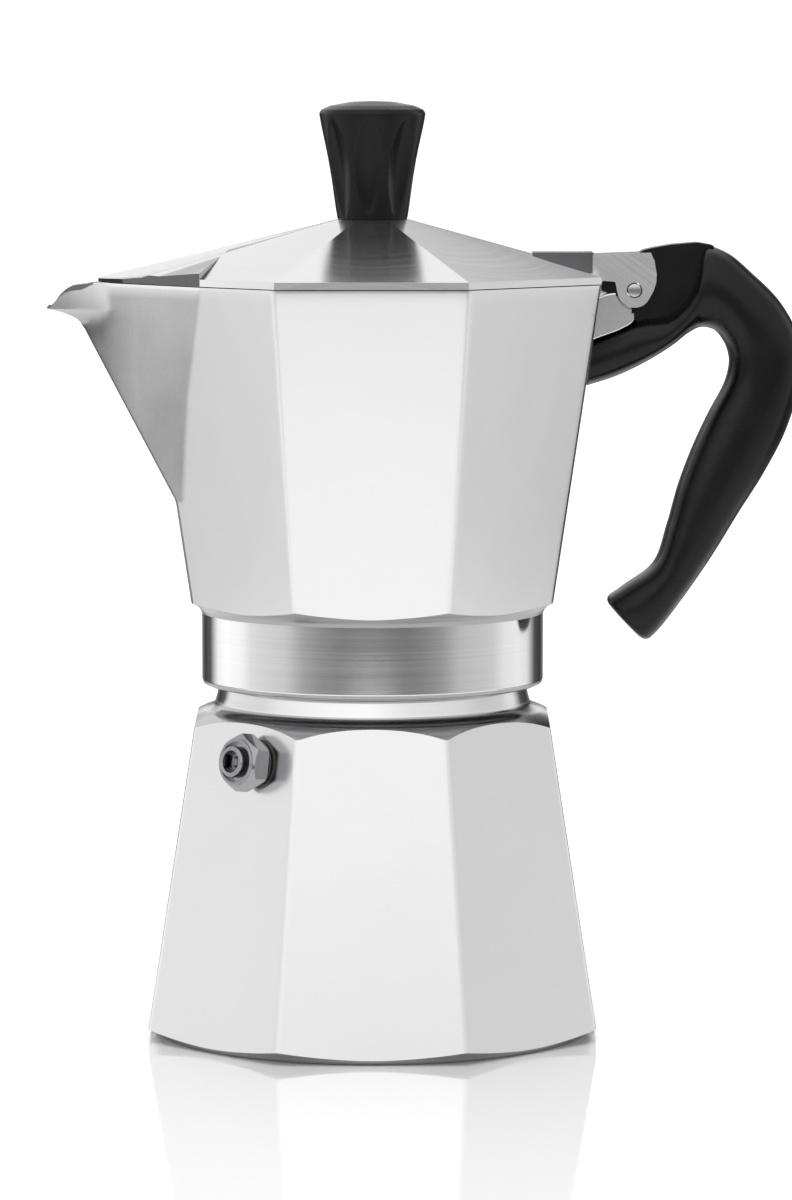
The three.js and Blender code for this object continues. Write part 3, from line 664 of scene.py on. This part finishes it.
def make_inside():
    top = high("funnel_basket", Z)
    basket = lathe("basket", [
        [6.2, 54], [7.1, 54], [7.1, 60.6], [30.5, 70.6], [31.2, 72], [31.2, top - 0.8],
        [35.2, top - 0.8], [35.2, top], [30.3, top], [30.3, 71.6], [6.2, 61.4],
    ], 0.5, closed=True, segments=200)
    place(basket, "funnel_basket", "funnel", "spun_aluminium", SPUN)
    place(sieve("funnel_strainer", 160), "funnel_strainer", "funnel", "spun_aluminium", SPUN)
    r = high("funnel_stem", X)
    stem = tube("stem", r - 0.9, r, low("funnel_stem", Z), high("funnel_stem", Z), 0.3, 96)
    place(stem, "funnel_stem", "funnel", "spun_aluminium", SPUN)
    gasket = tube("gasket", 28, high("gasket", X), low("gasket", Z), high("gasket", Z), 0.5, 200)
    place(gasket, "gasket", "seal", "white_rubber", RUBBER)
    place(sieve("filter_plate", 200), "filter_plate", "seal", "spun_aluminium", SPUN)

    column = lathe("column", [
        [3.2, 100.8], [6, 100.8], [6, 102.8], [8.6, 102.8], [8, 104.8], [5.6, 158], [3.2, 158],
    ], 0.4, closed=True, segments=96)
    place(column, "riser_column", "collector", "turned_aluminium", SPUN)
    cap = lathe("cap", [
        [6, 154], [7.2, 154], [7.2, 164.5], [5, 166.8], [0, 167.4], [0, 165.6], [6, 164],
    ], 0.5, closed=True, segments=96)
    cap = cut(cap, block("mouths", (-3, -10, 158.8), (3, 10, 163.7), 0.8))
    place(cap, "column_cap", "collector", "turned_aluminium", SPUN)


make_inside()


# ------------------------------------------------------------------ collector

ROOT_APOTHEM = body_apothem(SPOUT_ROOT_Z)
SPOUT_ROOT = Vector((-ROOT_APOTHEM, -ROOT_APOTHEM * math.tan(EIGHTH), SPOUT_ROOT_Z))
side_normal = (KEEL_TIP - SPOUT_SIDE).cross(SPOUT_ROOT - SPOUT_SIDE).normalized()
if side_normal.x > 0:
    side_normal.negate()
KEEL_SLOPE = (KEEL_TIP.x - SPOUT_ROOT.x) / (KEEL_TIP.z - SPOUT_ROOT.z)
KEEL_STRETCH = math.hypot(1, KEEL_SLOPE)


def crossing(n0, d0, n1, d1):
    """Where two plan lines n.p = d cross."""
    return np.linalg.solve(np.array([n0, n1], float), np.array([d0, d1], float))


def body_corners(z, inset=0.0):
    """The collector's outline at a height, with the spout, as ten corners from -22.5 degrees."""
    apothem = body_apothem(z) - inset
    eight = octagon_corners(apothem)
    facet_x = -apothem
    keel_x = SPOUT_ROOT.x + KEEL_SLOPE * (z - SPOUT_ROOT_Z) + KEEL_STRETCH * inset
    left = min(facet_x, keel_x)
    diagonal = (-math.sqrt(0.5), -math.sqrt(0.5))
    side = (side_normal.x, side_normal.y)
    reach = side_normal.dot(SPOUT_SIDE) - side_normal.z * z - inset
    on_side = crossing(side, reach, (1, 0), left)
    on_facet = crossing(diagonal, apothem, (1, 0), left)
    tip = on_side if on_side[1] > on_facet[1] else on_facet
    if tip[1] > -KEEL_HALF_LEAST:
        tip = crossing(side, reach, (0, 1), -KEEL_HALF_LEAST)
    shoulder = crossing(diagonal, apothem, side, reach)
    along = np.array([math.sqrt(0.5), -math.sqrt(0.5)])
    least = on_facet + 3.0 * along
    if shoulder[1] > least[1] or z <= SPOUT_ROOT_Z:
        shoulder = least
    flip = np.array([1, -1])
    return [*eight[:4], shoulder * flip, tip * flip, tip, shoulder, *eight[6:]]


def spout_drop(x):
    """How far the rim falls towards the lip."""
    return 0.9 * smoothstep(-62.5, -68.5, x)


def body_rows(levels, inset=0.0, reach=0.8):
    rows = []
    for z in levels:
        ring = ring_through(body_corners(z, inset), reach)
        rows.append(raised(ring, z))
    return rows


def lowered(rows):
    """The rows with the top of the walls let down towards the lip."""
    for row in rows:
        share = smoothstep(168, RIM_Z, row[:, 2])
        row[:, 2] -= spout_drop(row[:, 0]) * share
    return rows


# The pouring lip: its underside and its top edge, as (height, reach) and (reach, height).
LIP_UNDER = np.array([
    [160, -64.57], [164, -66.83], [165.6, -67.85], [166.65, -69.15], [167.55, -70.9], [168.15, -72.6],
    [168.5, -74.2], [168.8, LIP_TIP_X], [176, LIP_TIP_X],
])
LIP_EDGE = np.array([
    [-79, 166], [LIP_TIP_X, 169.25], [-74.9, 169.95], [-74.2, 170.8], [-73.4, 171.75], [-72.4, 172.9],
    [-71.2, 173.75], [-69.6, 174.3], [-67, 174.6], [-64, 175], [-62, 175.4],
])
LIP_SPREAD = 7.5  # how far from its middle the lip draws the walls out
LIP_LEVELS = [160, 162, 164, 165, 165.6, 166.1, 166.6, 167, 167.4, 167.75, 168.05, 168.3, 168.5,
              168.65, 168.8, 169.3, 170.5, 172]


def drawn_out(rows, extra=0.0, lift=0.0, spread=LIP_SPREAD):
    """The rows with the walls near the keel drawn out into the lip."""
    for row in rows:
        keel_x = float(min(row[:, 0]))
        z = float(np.mean(row[np.abs(row[:, 1]) < 8][:, 2])) if keel_x < -55 else 0
        if z <= LIP_UNDER[0][0] + lift:
            continue
        target = float(np.interp(z - lift, LIP_UNDER[:, 0], LIP_UNDER[:, 1])) + extra
        reach = max(keel_x - target, 0) * smoothstep(LIP_UNDER[0][0] + lift, LIP_UNDER[2][0] + lift, z)
        share = np.clip(1 - np.maximum(np.abs(row[:, 1]) - KEEL_HALF_LEAST, 0) / spread, 0, 1) ** 2
        row[:, 0] -= np.where(row[:, 0] < 0, reach * share, 0)
    return rows


def lip_trimmer(top_row):
    """What is trimmed from above the lip, with a chamfer along both of its edges."""
    near = top_row[(top_row[:, 1] >= -14) & (top_row[:, 1] <= 0) & (top_row[:, 0] < 0)]
    near = near[np.argsort(near[:, 0])]
    rows = []
    for x in np.linspace(-79, -62.5, 60):
        z = float(np.interp(x, LIP_EDGE[:, 0], LIP_EDGE[:, 1]))
        half = float(np.interp(x, near[:, 0], -near[:, 1]))
        edge = max(half - 1.1 * smoothstep(-64, -68, x), 0.25)
        outer_z = z if x > -64 else z - (30 - edge)
        outline = [(-30, outer_z), (-edge, z), (edge, z), (30, outer_z), (30, 190), (-30, 190)]
        rows.append([(x, y, height) for y, height in eased(outline, 0.3, 3, closed=True)])
    return stack("trimmer", rows)


def hinge_arc(r, start, stop):
    """Points round the lid's hinge, as [x, z], between two angles in degrees."""
    angles = np.radians(np.linspace(start, stop, 14))
    return [[HINGE[0] + r * math.cos(a), HINGE[2] + r * math.sin(a)] for a in angles]


def make_collector():
    levels = [98.3, SPOUT_ROOT_Z - 0.5, SPOUT_ROOT_Z + 0.5, 150, *LIP_LEVELS, RIM_Z - 1, RIM_Z - 0.14, RIM_Z]
    rows = body_rows(levels[:-2])
    rows += [raised(ring_through(body_corners(RIM_Z - 0.14, 0.1)), RIM_Z - 0.14)]
    rows += [raised(ring_through(body_corners(RIM_Z, 0.45)), RIM_Z)]
    rows = drawn_out(lowered(rows))
    body = cut(stack("collector", rows), lip_trimmer(rows[-1]))
    underside = lathe("underside", [
        [0, 98], [39.8, 98], [40.3, 99.2], [41.5, 100.3], [44.9, 101.7], [47, 103], [62, 118],
        [90, 140], [90, 190], [0, 190],
    ], 0.7, segments=320)
    collar = lathe("collar", [
        [0, COLLAR_BOTTOM], [COLLAR_R - 1.2, COLLAR_BOTTOM], [COLLAR_R - 0.3, COLLAR_BOTTOM + 0.4],
        [COLLAR_R, COLLAR_BOTTOM + 1.3], [COLLAR_R, COLLAR_TOP], [COLLAR_R - 0.5, COLLAR_TOP + 2],
        [0, COLLAR_TOP + 2],
    ], 0.2, segments=320)
    bore = lathe("bore", [
        [0, 70], [COLLAR_BORE_R, 70], [COLLAR_BORE_R, NECK_TOP + 1], [GASKET_SEAT_R, NECK_TOP + 1.7],
        [GASKET_SEAT_R, FLOOR_UNDERSIDE], [30, FLOOR_UNDERSIDE + 0.4], [8, 100.3], [0, 100.3],
    ], 0.4, segments=240)
    inner_levels = [FLOOR_TOP, SPOUT_ROOT_Z + 1, 150, *(z + 1.6 for z in LIP_LEVELS), RIM_Z, RIM_Z + 3]
    inner = body_rows(inner_levels[:-2], WALL - 0.2, 2.2)
    inner[0] = raised(ring_through(body_corners(FLOOR_TOP, WALL + 1.2), 2.2), FLOOR_TOP)
    inner.insert(1, raised(ring_through(body_corners(FLOOR_TOP + 1.2, WALL - 0.2), 2.2), FLOOR_TOP + 1.2))
    inner += [raised(ring_through(body_corners(RIM_Z, WALL - 0.55), 2.2), RIM_Z)]
    inner += [raised(ring_through(body_corners(RIM_Z, WALL - 0.55), 2.2), RIM_Z + 3)]
    inside = stack("inside", drawn_out(lowered(inner), -2.5, 1.6, 3.6))
    column_hole = drum("column_hole", 6.3, 90, 110)
    hx, _, hz = HINGE
    bracket = plate("bracket", [
        [49.5, 161.2], [52.6, 162.4], [56.6, 163.8], [59.4, 165.2], [60.6, 166.2], [hx, hz],
        [54.5, 172.6], [52.2, 171.8], [49.5, 171.8],
    ], -EAR_OUTER, EAR_OUTER, 0.5, 0.8)
    swing = plate("swing", [[hx, hz], *hinge_arc(5.4, -98, 30)], -10, 10, 0, 0.01)
    cut(bracket, rod("clear", 4.5, 10, hx, hz), swing)
    lug = plate("lug", [
        [49.5, 164.2], [56, 166], [60.2, 167.3], *hinge_arc(3.8, -60, 90), [51.8, 174.9], [49.5, 174.9],
    ], -LUG_HALF, LUG_HALF, 0.3, 0.5)
    shell = join(keep(body, underside), collar, bracket, lug)
    made = cut(shell, inside, bore, column_hole, rod("pin_hole", PIN_HOLE_R, 10, hx, hz))
    made = place(made, "collector", "collector", "cast_aluminium", CAST_LIP_PAINTED_SHADE, TURNED, UNDERCUT_PAINTED_SHADE, PAINTED_SHADE_METAL)
    under_bracket = lambda c: c.x > 49 and 158 < c.z < 172 and abs(c.y) < EAR_OUTER + 0.1
    paint(made, 1, lambda c, n: c.z < 98.9 and abs(n.z) < 0.9)
    # Painted shade on the downward faces at the collar's top and bottom edges.
    paint(made, 2, lambda c, n: (98.4 < c.z < 103 or c.z < COLLAR_BOTTOM + 1.2) and n.z < -0.05)
    # Painted shade on the lip's top edge and under the hinge bracket.
    paint(made, 3, lambda c, n: c.x < -64.5 and n.z > 0.3 and c.z > 168)
    paint(made, 3, lambda c, n: under_bracket(c) and n.z < -0.25)


make_collector()


# ------------------------------------------------------------------ lid, from its CAD node

def make_lid():
    source = frame["nodes"]["lid"]
    bm = bmesh.new()
    bm.from_mesh(source.data)
    bmesh.ops.scale(bm, vec=(1 / MM, 1 / MM, 1 / MM), verts=bm.verts)
    bmesh.ops.remove_doubles(bm, verts=bm.verts, dist=1e-3)
    bmesh.ops.recalc_face_normals(bm, faces=bm.faces)
    for v in bm.verts:
        if abs(v.co.z - RIM_Z - GAP) < 0.05:
            v.co.z -= GAP - LID_GAP
    bevelled(bm, 0.3, 3, 6, hollows=False)
    made = new_object("lid", bm)
    made = place(made, "lid", "lid", "cast_aluminium", BRUSHED, PAINTED_SHADE_METAL, PAINTED_SHADE_METAL_BEAK, BRUSHED_BEAK_PAINTED_SHADE)
    # Painted shade: the beak's roof, the beak's walls with a painted shadow at the tip, and the rib's sides.
    paint(made, 3, lambda c, n: c.x < -11 and n.z > 0.3 and n.x < -0.05 and abs(n.y) < -0.7 * n.x)
    paint(made, 2, lambda c, n: c.x < -39.5 and abs(n.z) < 0.3 and RIM_Z < c.z < 178.4)
    paint(made, 1, lambda c, n: 37 < c.x < 51.4 and abs(c.y) < 4.9 and abs(n.y) > 0.7)


make_lid()


# ------------------------------------------------------------------ knob and its fixings

def make_knob():
    bottom, top = high("lid", Z) + 0.03, high("knob", Z)
    rim_z, foot_r, rim_r = 214.4, 8.1, 12.35
    profile = [
        [0, bottom], [foot_r, bottom], [rim_r, rim_z - 0.4], [rim_r - 0.5, rim_z + 0.5],
        [rim_r - 2.5, rim_z + 1.4], [5, top - 0.2], [0, top],
    ]
    line = eased(profile, 0.3, 5)
    side = np.array(line)
    extra = [foot_r + (rim_r - foot_r) * t for t in np.linspace(0.05, 0.95, 60)]
    rising = [[r, bottom + (rim_z - 0.4 - bottom) * t] for r, t in zip(extra, np.linspace(0.05, 0.95, 60))]
    split = next(i for i, p in enumerate(side) if p[1] > bottom + 0.8)
    line = [list(p) for p in side[:split]] + rising + [list(p) for p in side[split:] if p[1] > rising[-1][1]]
    segments, flutes, first, flute_depth, flute_width = 288, 8, math.radians(-50), 1.25, 0.41
    angle = np.linspace(0, 2 * math.pi, segments, endpoint=False)
    rows = []
    for r, z in line:
        t = (z - bottom) / (rim_z - bottom)
        lens = math.sin(math.pi * float(np.clip((t - 0.03) / 0.89, 0, 1)))
        phase = ((angle + math.pi / 2 - first) * flutes / (2 * math.pi) + 0.5) % 1 - 0.5
        width = flute_width * lens ** 0.55 + 1e-3
        scoop = np.clip(1 - (phase / width) ** 2, 0, 1)
        radius = r - flute_depth * lens ** 0.7 * scoop
        rows.append(np.stack([radius * np.cos(angle), radius * np.sin(angle), np.full(segments, z)], 1))
    body = cut(stack("knob", rows), drum("pocket", 3.9, bottom - 1, 201.5))
    place(body, "knob", "lid", "black_moulding", BLACK, sharp=40)
    insert = tube("insert", 2.0, 3.6, bottom, high("knob_insert", Z), 0.15, 64)
    place(insert, "knob_insert", "lid", "brass", BRASS)
    lo, hi = low("knob_washer", Z), high("knob_washer", Z)
    place(tube("washer", 2.0, 5.2, lo, hi, 0.2, 96), "knob_washer", "lid", "plated_steel", STEEL)
    foot, end = low("knob_screw", Z), high("knob_screw", Z)
    screw = lathe("screw", [
        [0, foot], [2.8, foot], [3.6, foot + 0.8], [3.6, foot + 2], [1.7, foot + 2], [1.7, end], [0, end],
    ], 0.2, segments=64)
    screw = cut(screw, block("driver_slot", (-0.5, -5, foot - 1), (0.5, 5, foot + 0.8)))
    place(screw, "knob_screw", "lid", "plated_steel", STEEL)


make_knob()


# ------------------------------------------------------------------ handle and hinge pin

# The handle's sections from its root to its foot: the back edge's X and Z, the front edge's X and
# Z, and half of the width.
SECTIONS = [
    (51.3, 162.4, 49.8, 151, 7.5), (57, 164.8, 55.8, 152.9, 7.8), (62.6, 166.7, 61, 155.2, 8),
    (68.8, 167.7, 66.2, 158.1, 8.5), (73, 171.6, 70.1, 160.7, 9), (75.4, 176, 73.4, 163.3, 9.4),
    (77.2, 183.2, 76.6, 164.6, 9.7), (82, 182, 79.2, 164, 9.9), (88.2, 177, 81.5, 161.4, 10),
    (94.8, 170.2, 82.7, 158.3, 10), (99, 162, 82.8, 155.5, 10), (99.3, 152.5, 81.7, 151.4, 10),
    (96.3, 141.1, 78, 144.4, 10), (91, 130.6, 74.4, 136.6, 10), (85.3, 121.5, 71.2, 128, 9.9),
    (78.9, 111, 68.6, 118.6, 9.6), (72.3, 101.4, 65.4, 109.6, 9.2), (66.5, 93.8, 58.8, 104.5, 8.8),
    (63.5, 91.1, 54, 101.1, 8.4),
]


def make_handle():
    hx, _, hz = HINGE
    stations = spline(SECTIONS, 150)
    turn = np.linspace(0, 2 * math.pi, 72, endpoint=False)
    soft = lambda c: np.sign(c) * np.abs(c) ** 0.8
    rows = []
    for bx, bz, fx, fz, half in stations:
        across = soft(np.cos(turn)) / 2
        rows.append(np.column_stack([(bx + fx) / 2 + (bx - fx) * across, half * soft(np.sin(turn)),
                                     (bz + fz) / 2 + (bz - fz) * across]))
    foot = rows[-1]
    centre = foot.mean(0)
    step = (foot.mean(0) - rows[-4].mean(0)) * 0.8
    rounding = ((0.997, 0.0), (0.985, 0.3), (0.95, 0.6), (0.89, 0.83), (0.80, 0.96), (0.70, 1.0))
    rows = rows[:-4] + [centre + (foot - centre) * share + step * (lift - 1) for share, lift in rounding]
    grip = stack("handle", rows)
    nose = plate("nose", [
        [57, 178.2], [53.2, 175.3], [53, 173.1], *hinge_arc(4.1, 200, 262), [60, 167.2], [61.2, 165.9],
        [63.2, 165], [70, 163], [80, 172], [79.1, 183.6], [75.2, 184.3], [69.2, 183.8], [65.2, 183.1],
        [62.6, 182.5], [60, 180.5],
    ], -3.6, 3.6, 0.4, 0.6)
    slot = block("slot", (50, -1.95, hz - 5), (hx, 1.95, hz + 4.2))
    round_slot = rod("round_slot", 4.2, 1.95, hx, hz)
    made = cut(join(grip, nose), slot, round_slot, rod("pin_hole", PIN_HOLE_R, 10, hx, hz))
    place(made, "handle", "collector", "black_moulding", BLACK, sharp=38)
    pin = drum("pin", PIN_R, -EAR_OUTER, EAR_OUTER, 0.35, 48)
    pin.data.transform(Matrix.Translation((hx, 0, hz)) @ Matrix.Rotation(math.pi / 2, 4, "X"))
    place(pin, "hinge_pin", "collector", "plated_steel", STEEL)


make_handle()


# ------------------------------------------------------------------ floor, light and camera

# The floor is an oval, and the camera stands in front of it. Both are in metres.
FLOOR_CENTRE_Y = -0.15
FLOOR_HALF_WIDTH, FLOOR_HALF_DEPTH = 0.34, 0.55
CAMERA_AT = (0.00547, -1.275, 0.225)
CAMERA_TILT = 0.0971  # downwards, in radians
CAMERA_LENS = 164.6


def make_floor():
    bm = bmesh.new()
    bmesh.ops.create_circle(bm, cap_ends=True, radius=1, segments=128)
    oval = Matrix.Diagonal((FLOOR_HALF_WIDTH, FLOOR_HALF_DEPTH, 1, 1))
    bmesh.ops.transform(bm, verts=bm.verts, matrix=Matrix.Translation((0, FLOOR_CENTRE_Y, 0)) @ oval)
    mesh = bpy.data.meshes.new("floor")
    bm.to_mesh(mesh)
    bm.free()
    floor = bpy.data.objects.new("floor", mesh)
    bpy.context.scene.collection.objects.link(floor)
    n = Nodes("floor")
    haze = n.noise(n.place, 3, 2)
    colour = n.blend(haze, (0.815, 0.815, 0.815), (0.825, 0.825, 0.825))
    n.set(Base_Color=colour, Roughness=n.spread(haze, 0.04, 0.08), IOR=2.1)
    mesh.materials.append(n.material)


def make_overhead():
    """A broad light above the pot, which only shows in what it lights."""
    at, target, size, power = (0, 0.05, 0.95), (0, 0.05, 0), (0.9, 2.3), 15.6
    data = bpy.data.lights.new("overhead", "AREA")
    data.shape = "RECTANGLE"
    data.size, data.size_y = size
    data.energy = power
    light = bpy.data.objects.new("overhead", data)
    bpy.context.scene.collection.objects.link(light)
    light.location = at
    light.rotation_euler = (Vector(target) - Vector(at)).to_track_quat("-Z", "Y").to_euler()
    light.visible_camera = False
    light.visible_glossy = False


class World:
    """The studio: soft walls of light, as a shade for every direction."""

    def __init__(self):
        world = bpy.data.worlds.new("studio")
        bpy.context.scene.world = world
        world.use_nodes = True
        self.tree = world.node_tree
        coord = self.tree.nodes.new("ShaderNodeTexCoord")
        parts = self.tree.nodes.new("ShaderNodeSeparateXYZ")
        self.tree.links.new(coord.outputs["Generated"], parts.inputs[0])
        self.x, self.y, self.z = parts.outputs

    def math(self, operation, a, b=0.0):
        node = self.tree.nodes.new("ShaderNodeMath")
        node.operation = operation
        for socket, value in zip(node.inputs, (a, b)):
            if isinstance(value, bpy.types.NodeSocket):
                self.tree.links.new(value, socket)
            else:
                socket.default_value = value
        return node.outputs[0]

    def ease(self, value, start, stop, low_out=0.0, high_out=1.0):
        node = self.tree.nodes.new("ShaderNodeMapRange")
        node.interpolation_type = "SMOOTHSTEP"
        self.tree.links.new(value, node.inputs["Value"])
        span = (("From Min", start), ("From Max", stop), ("To Min", low_out), ("To Max", high_out))
        for key, number in span:
            node.inputs[key].default_value = number
        return node.outputs["Result"]

    def ramp(self, value, *stops):
        """Stops are (value from -1 to 1, grey)."""
        node = self.tree.nodes.new("ShaderNodeValToRGB")
        self.tree.links.new(self.math("MULTIPLY", self.math("ADD", value, 1.0), 0.5), node.inputs["Fac"])
        line = node.color_ramp.elements
        stops = sorted(stops)
        for k, (at, grey) in enumerate(stops):
            spot = (at + 1) / 2
            element = line[k] if k < 2 else line.new(spot)
            element.position = spot
            element.color = (grey, grey, grey, 1)
        return node.outputs["Color"]

    def mix(self, factor, a, b):
        node = self.tree.nodes.new("ShaderNodeMix")
        node.data_type = "RGBA"
        for index, value in ((0, factor), (6, a), (7, b)):
            if isinstance(value, bpy.types.NodeSocket):
                self.tree.links.new(value, node.inputs[index])
            elif index:
                node.inputs[index].default_value = (value, value, value, 1)
            else:
                node.inputs[index].default_value = value
        return node.outputs[2]

    def times(self, colour, factor):
        node = self.tree.nodes.new("ShaderNodeVectorMath")
        node.operation = "SCALE"
        self.tree.links.new(colour, node.inputs[0])
        self.tree.links.new(factor, node.inputs["Scale"])
        return node.outputs[0]


SEEN_BY_CAMERA, SEEN_BY_DIFFUSE, FAR_WALL = 1.3, 0.55, 1.25


def make_world():
    """Greys for level, raised and lowered directions, by how far each faces the camera: 1 is
    towards it, -1 is away. The far wall is the bright ground that the floor reflects.
    """
    w = World()
    flat = w.math("SQRT", w.math("ADD", w.math("MULTIPLY", w.x, w.x), w.math("MULTIPLY", w.y, w.y)))
    facing = w.math("DIVIDE", w.math("MULTIPLY", w.y, -1.0), w.math("MAXIMUM", flat, 1e-4))
    horizon = w.ramp(facing, (1, 0.20), (0.93, 0.22), (0.80, 0.33), (0.68, 0.44), (0.5, 0.72),
                     (0.34, 0.80), (0.17, 0.84), (0.0, 0.93), (-0.15, 1.2), (-0.45, 1.3), (-0.62, 1.15),
                     (-0.78, 0.12), (-0.92, 0.05), (-1, 0.3))
    upper = w.ramp(facing, (1, 1.25), (0.3, 1.05), (0, 0.88), (-0.5, 0.93), (-1, 1.1))
    lower = w.ramp(facing, (1, 0.7), (0.3, 0.97), (0.05, 1.16), (-0.04, 1.14), (-0.12, 0.32),
                   (-0.25, 0.13), (-1, 0.2))
    edge = w.math("ADD", w.math("MULTIPLY", w.x, 0.45), 0.40)
    behind = w.ease(w.math("SUBTRACT", w.z, edge), -0.09, 0.05)
    in_front = w.ease(w.z, 0.015, 0.12)
    lifted = w.mix(w.ease(w.y, 0.3, 0.7), in_front, behind)
    shade = w.mix(lifted, horizon, upper)
    shade = w.times(shade, w.ease(w.x, -0.1, 0.5, 1.0, 0.82))
    lower = w.times(lower, w.ease(w.x, -0.1, 0.5, 1.0, 0.88))
    shade = w.mix(w.ease(w.z, -0.13, -0.20), shade, lower)
    far_wall = w.math("MULTIPLY", w.ease(w.y, 0.93, 0.975), w.ease(w.z, 0.09, 0.12))
    far_wall = w.math("MULTIPLY", far_wall, w.ease(w.z, 0.26, 0.32, 1.0, 0.0))
    shade = w.mix(far_wall, shade, FAR_WALL)
    path = w.tree.nodes.new("ShaderNodeLightPath")
    seen = w.mix(path.outputs["Is Glossy Ray"], SEEN_BY_DIFFUSE, shade)
    seen = w.mix(path.outputs["Is Camera Ray"], seen, SEEN_BY_CAMERA)
    w.tree.links.new(seen, w.tree.nodes["Background"].inputs["Color"])


def make_camera():
    data = bpy.data.cameras.new("camera")
    data.lens = CAMERA_LENS
    data.sensor_width = 36
    data.clip_end = 100
    camera = bpy.data.objects.new("camera", data)
    bpy.context.scene.collection.objects.link(camera)
    camera.location = CAMERA_AT
    camera.rotation_euler = (math.pi / 2 - CAMERA_TILT, 0, 0)
    bpy.context.scene.camera = camera


make_floor()
make_world()
make_camera()
make_overhead()
bpy.context.scene.view_settings.view_transform = "Standard"
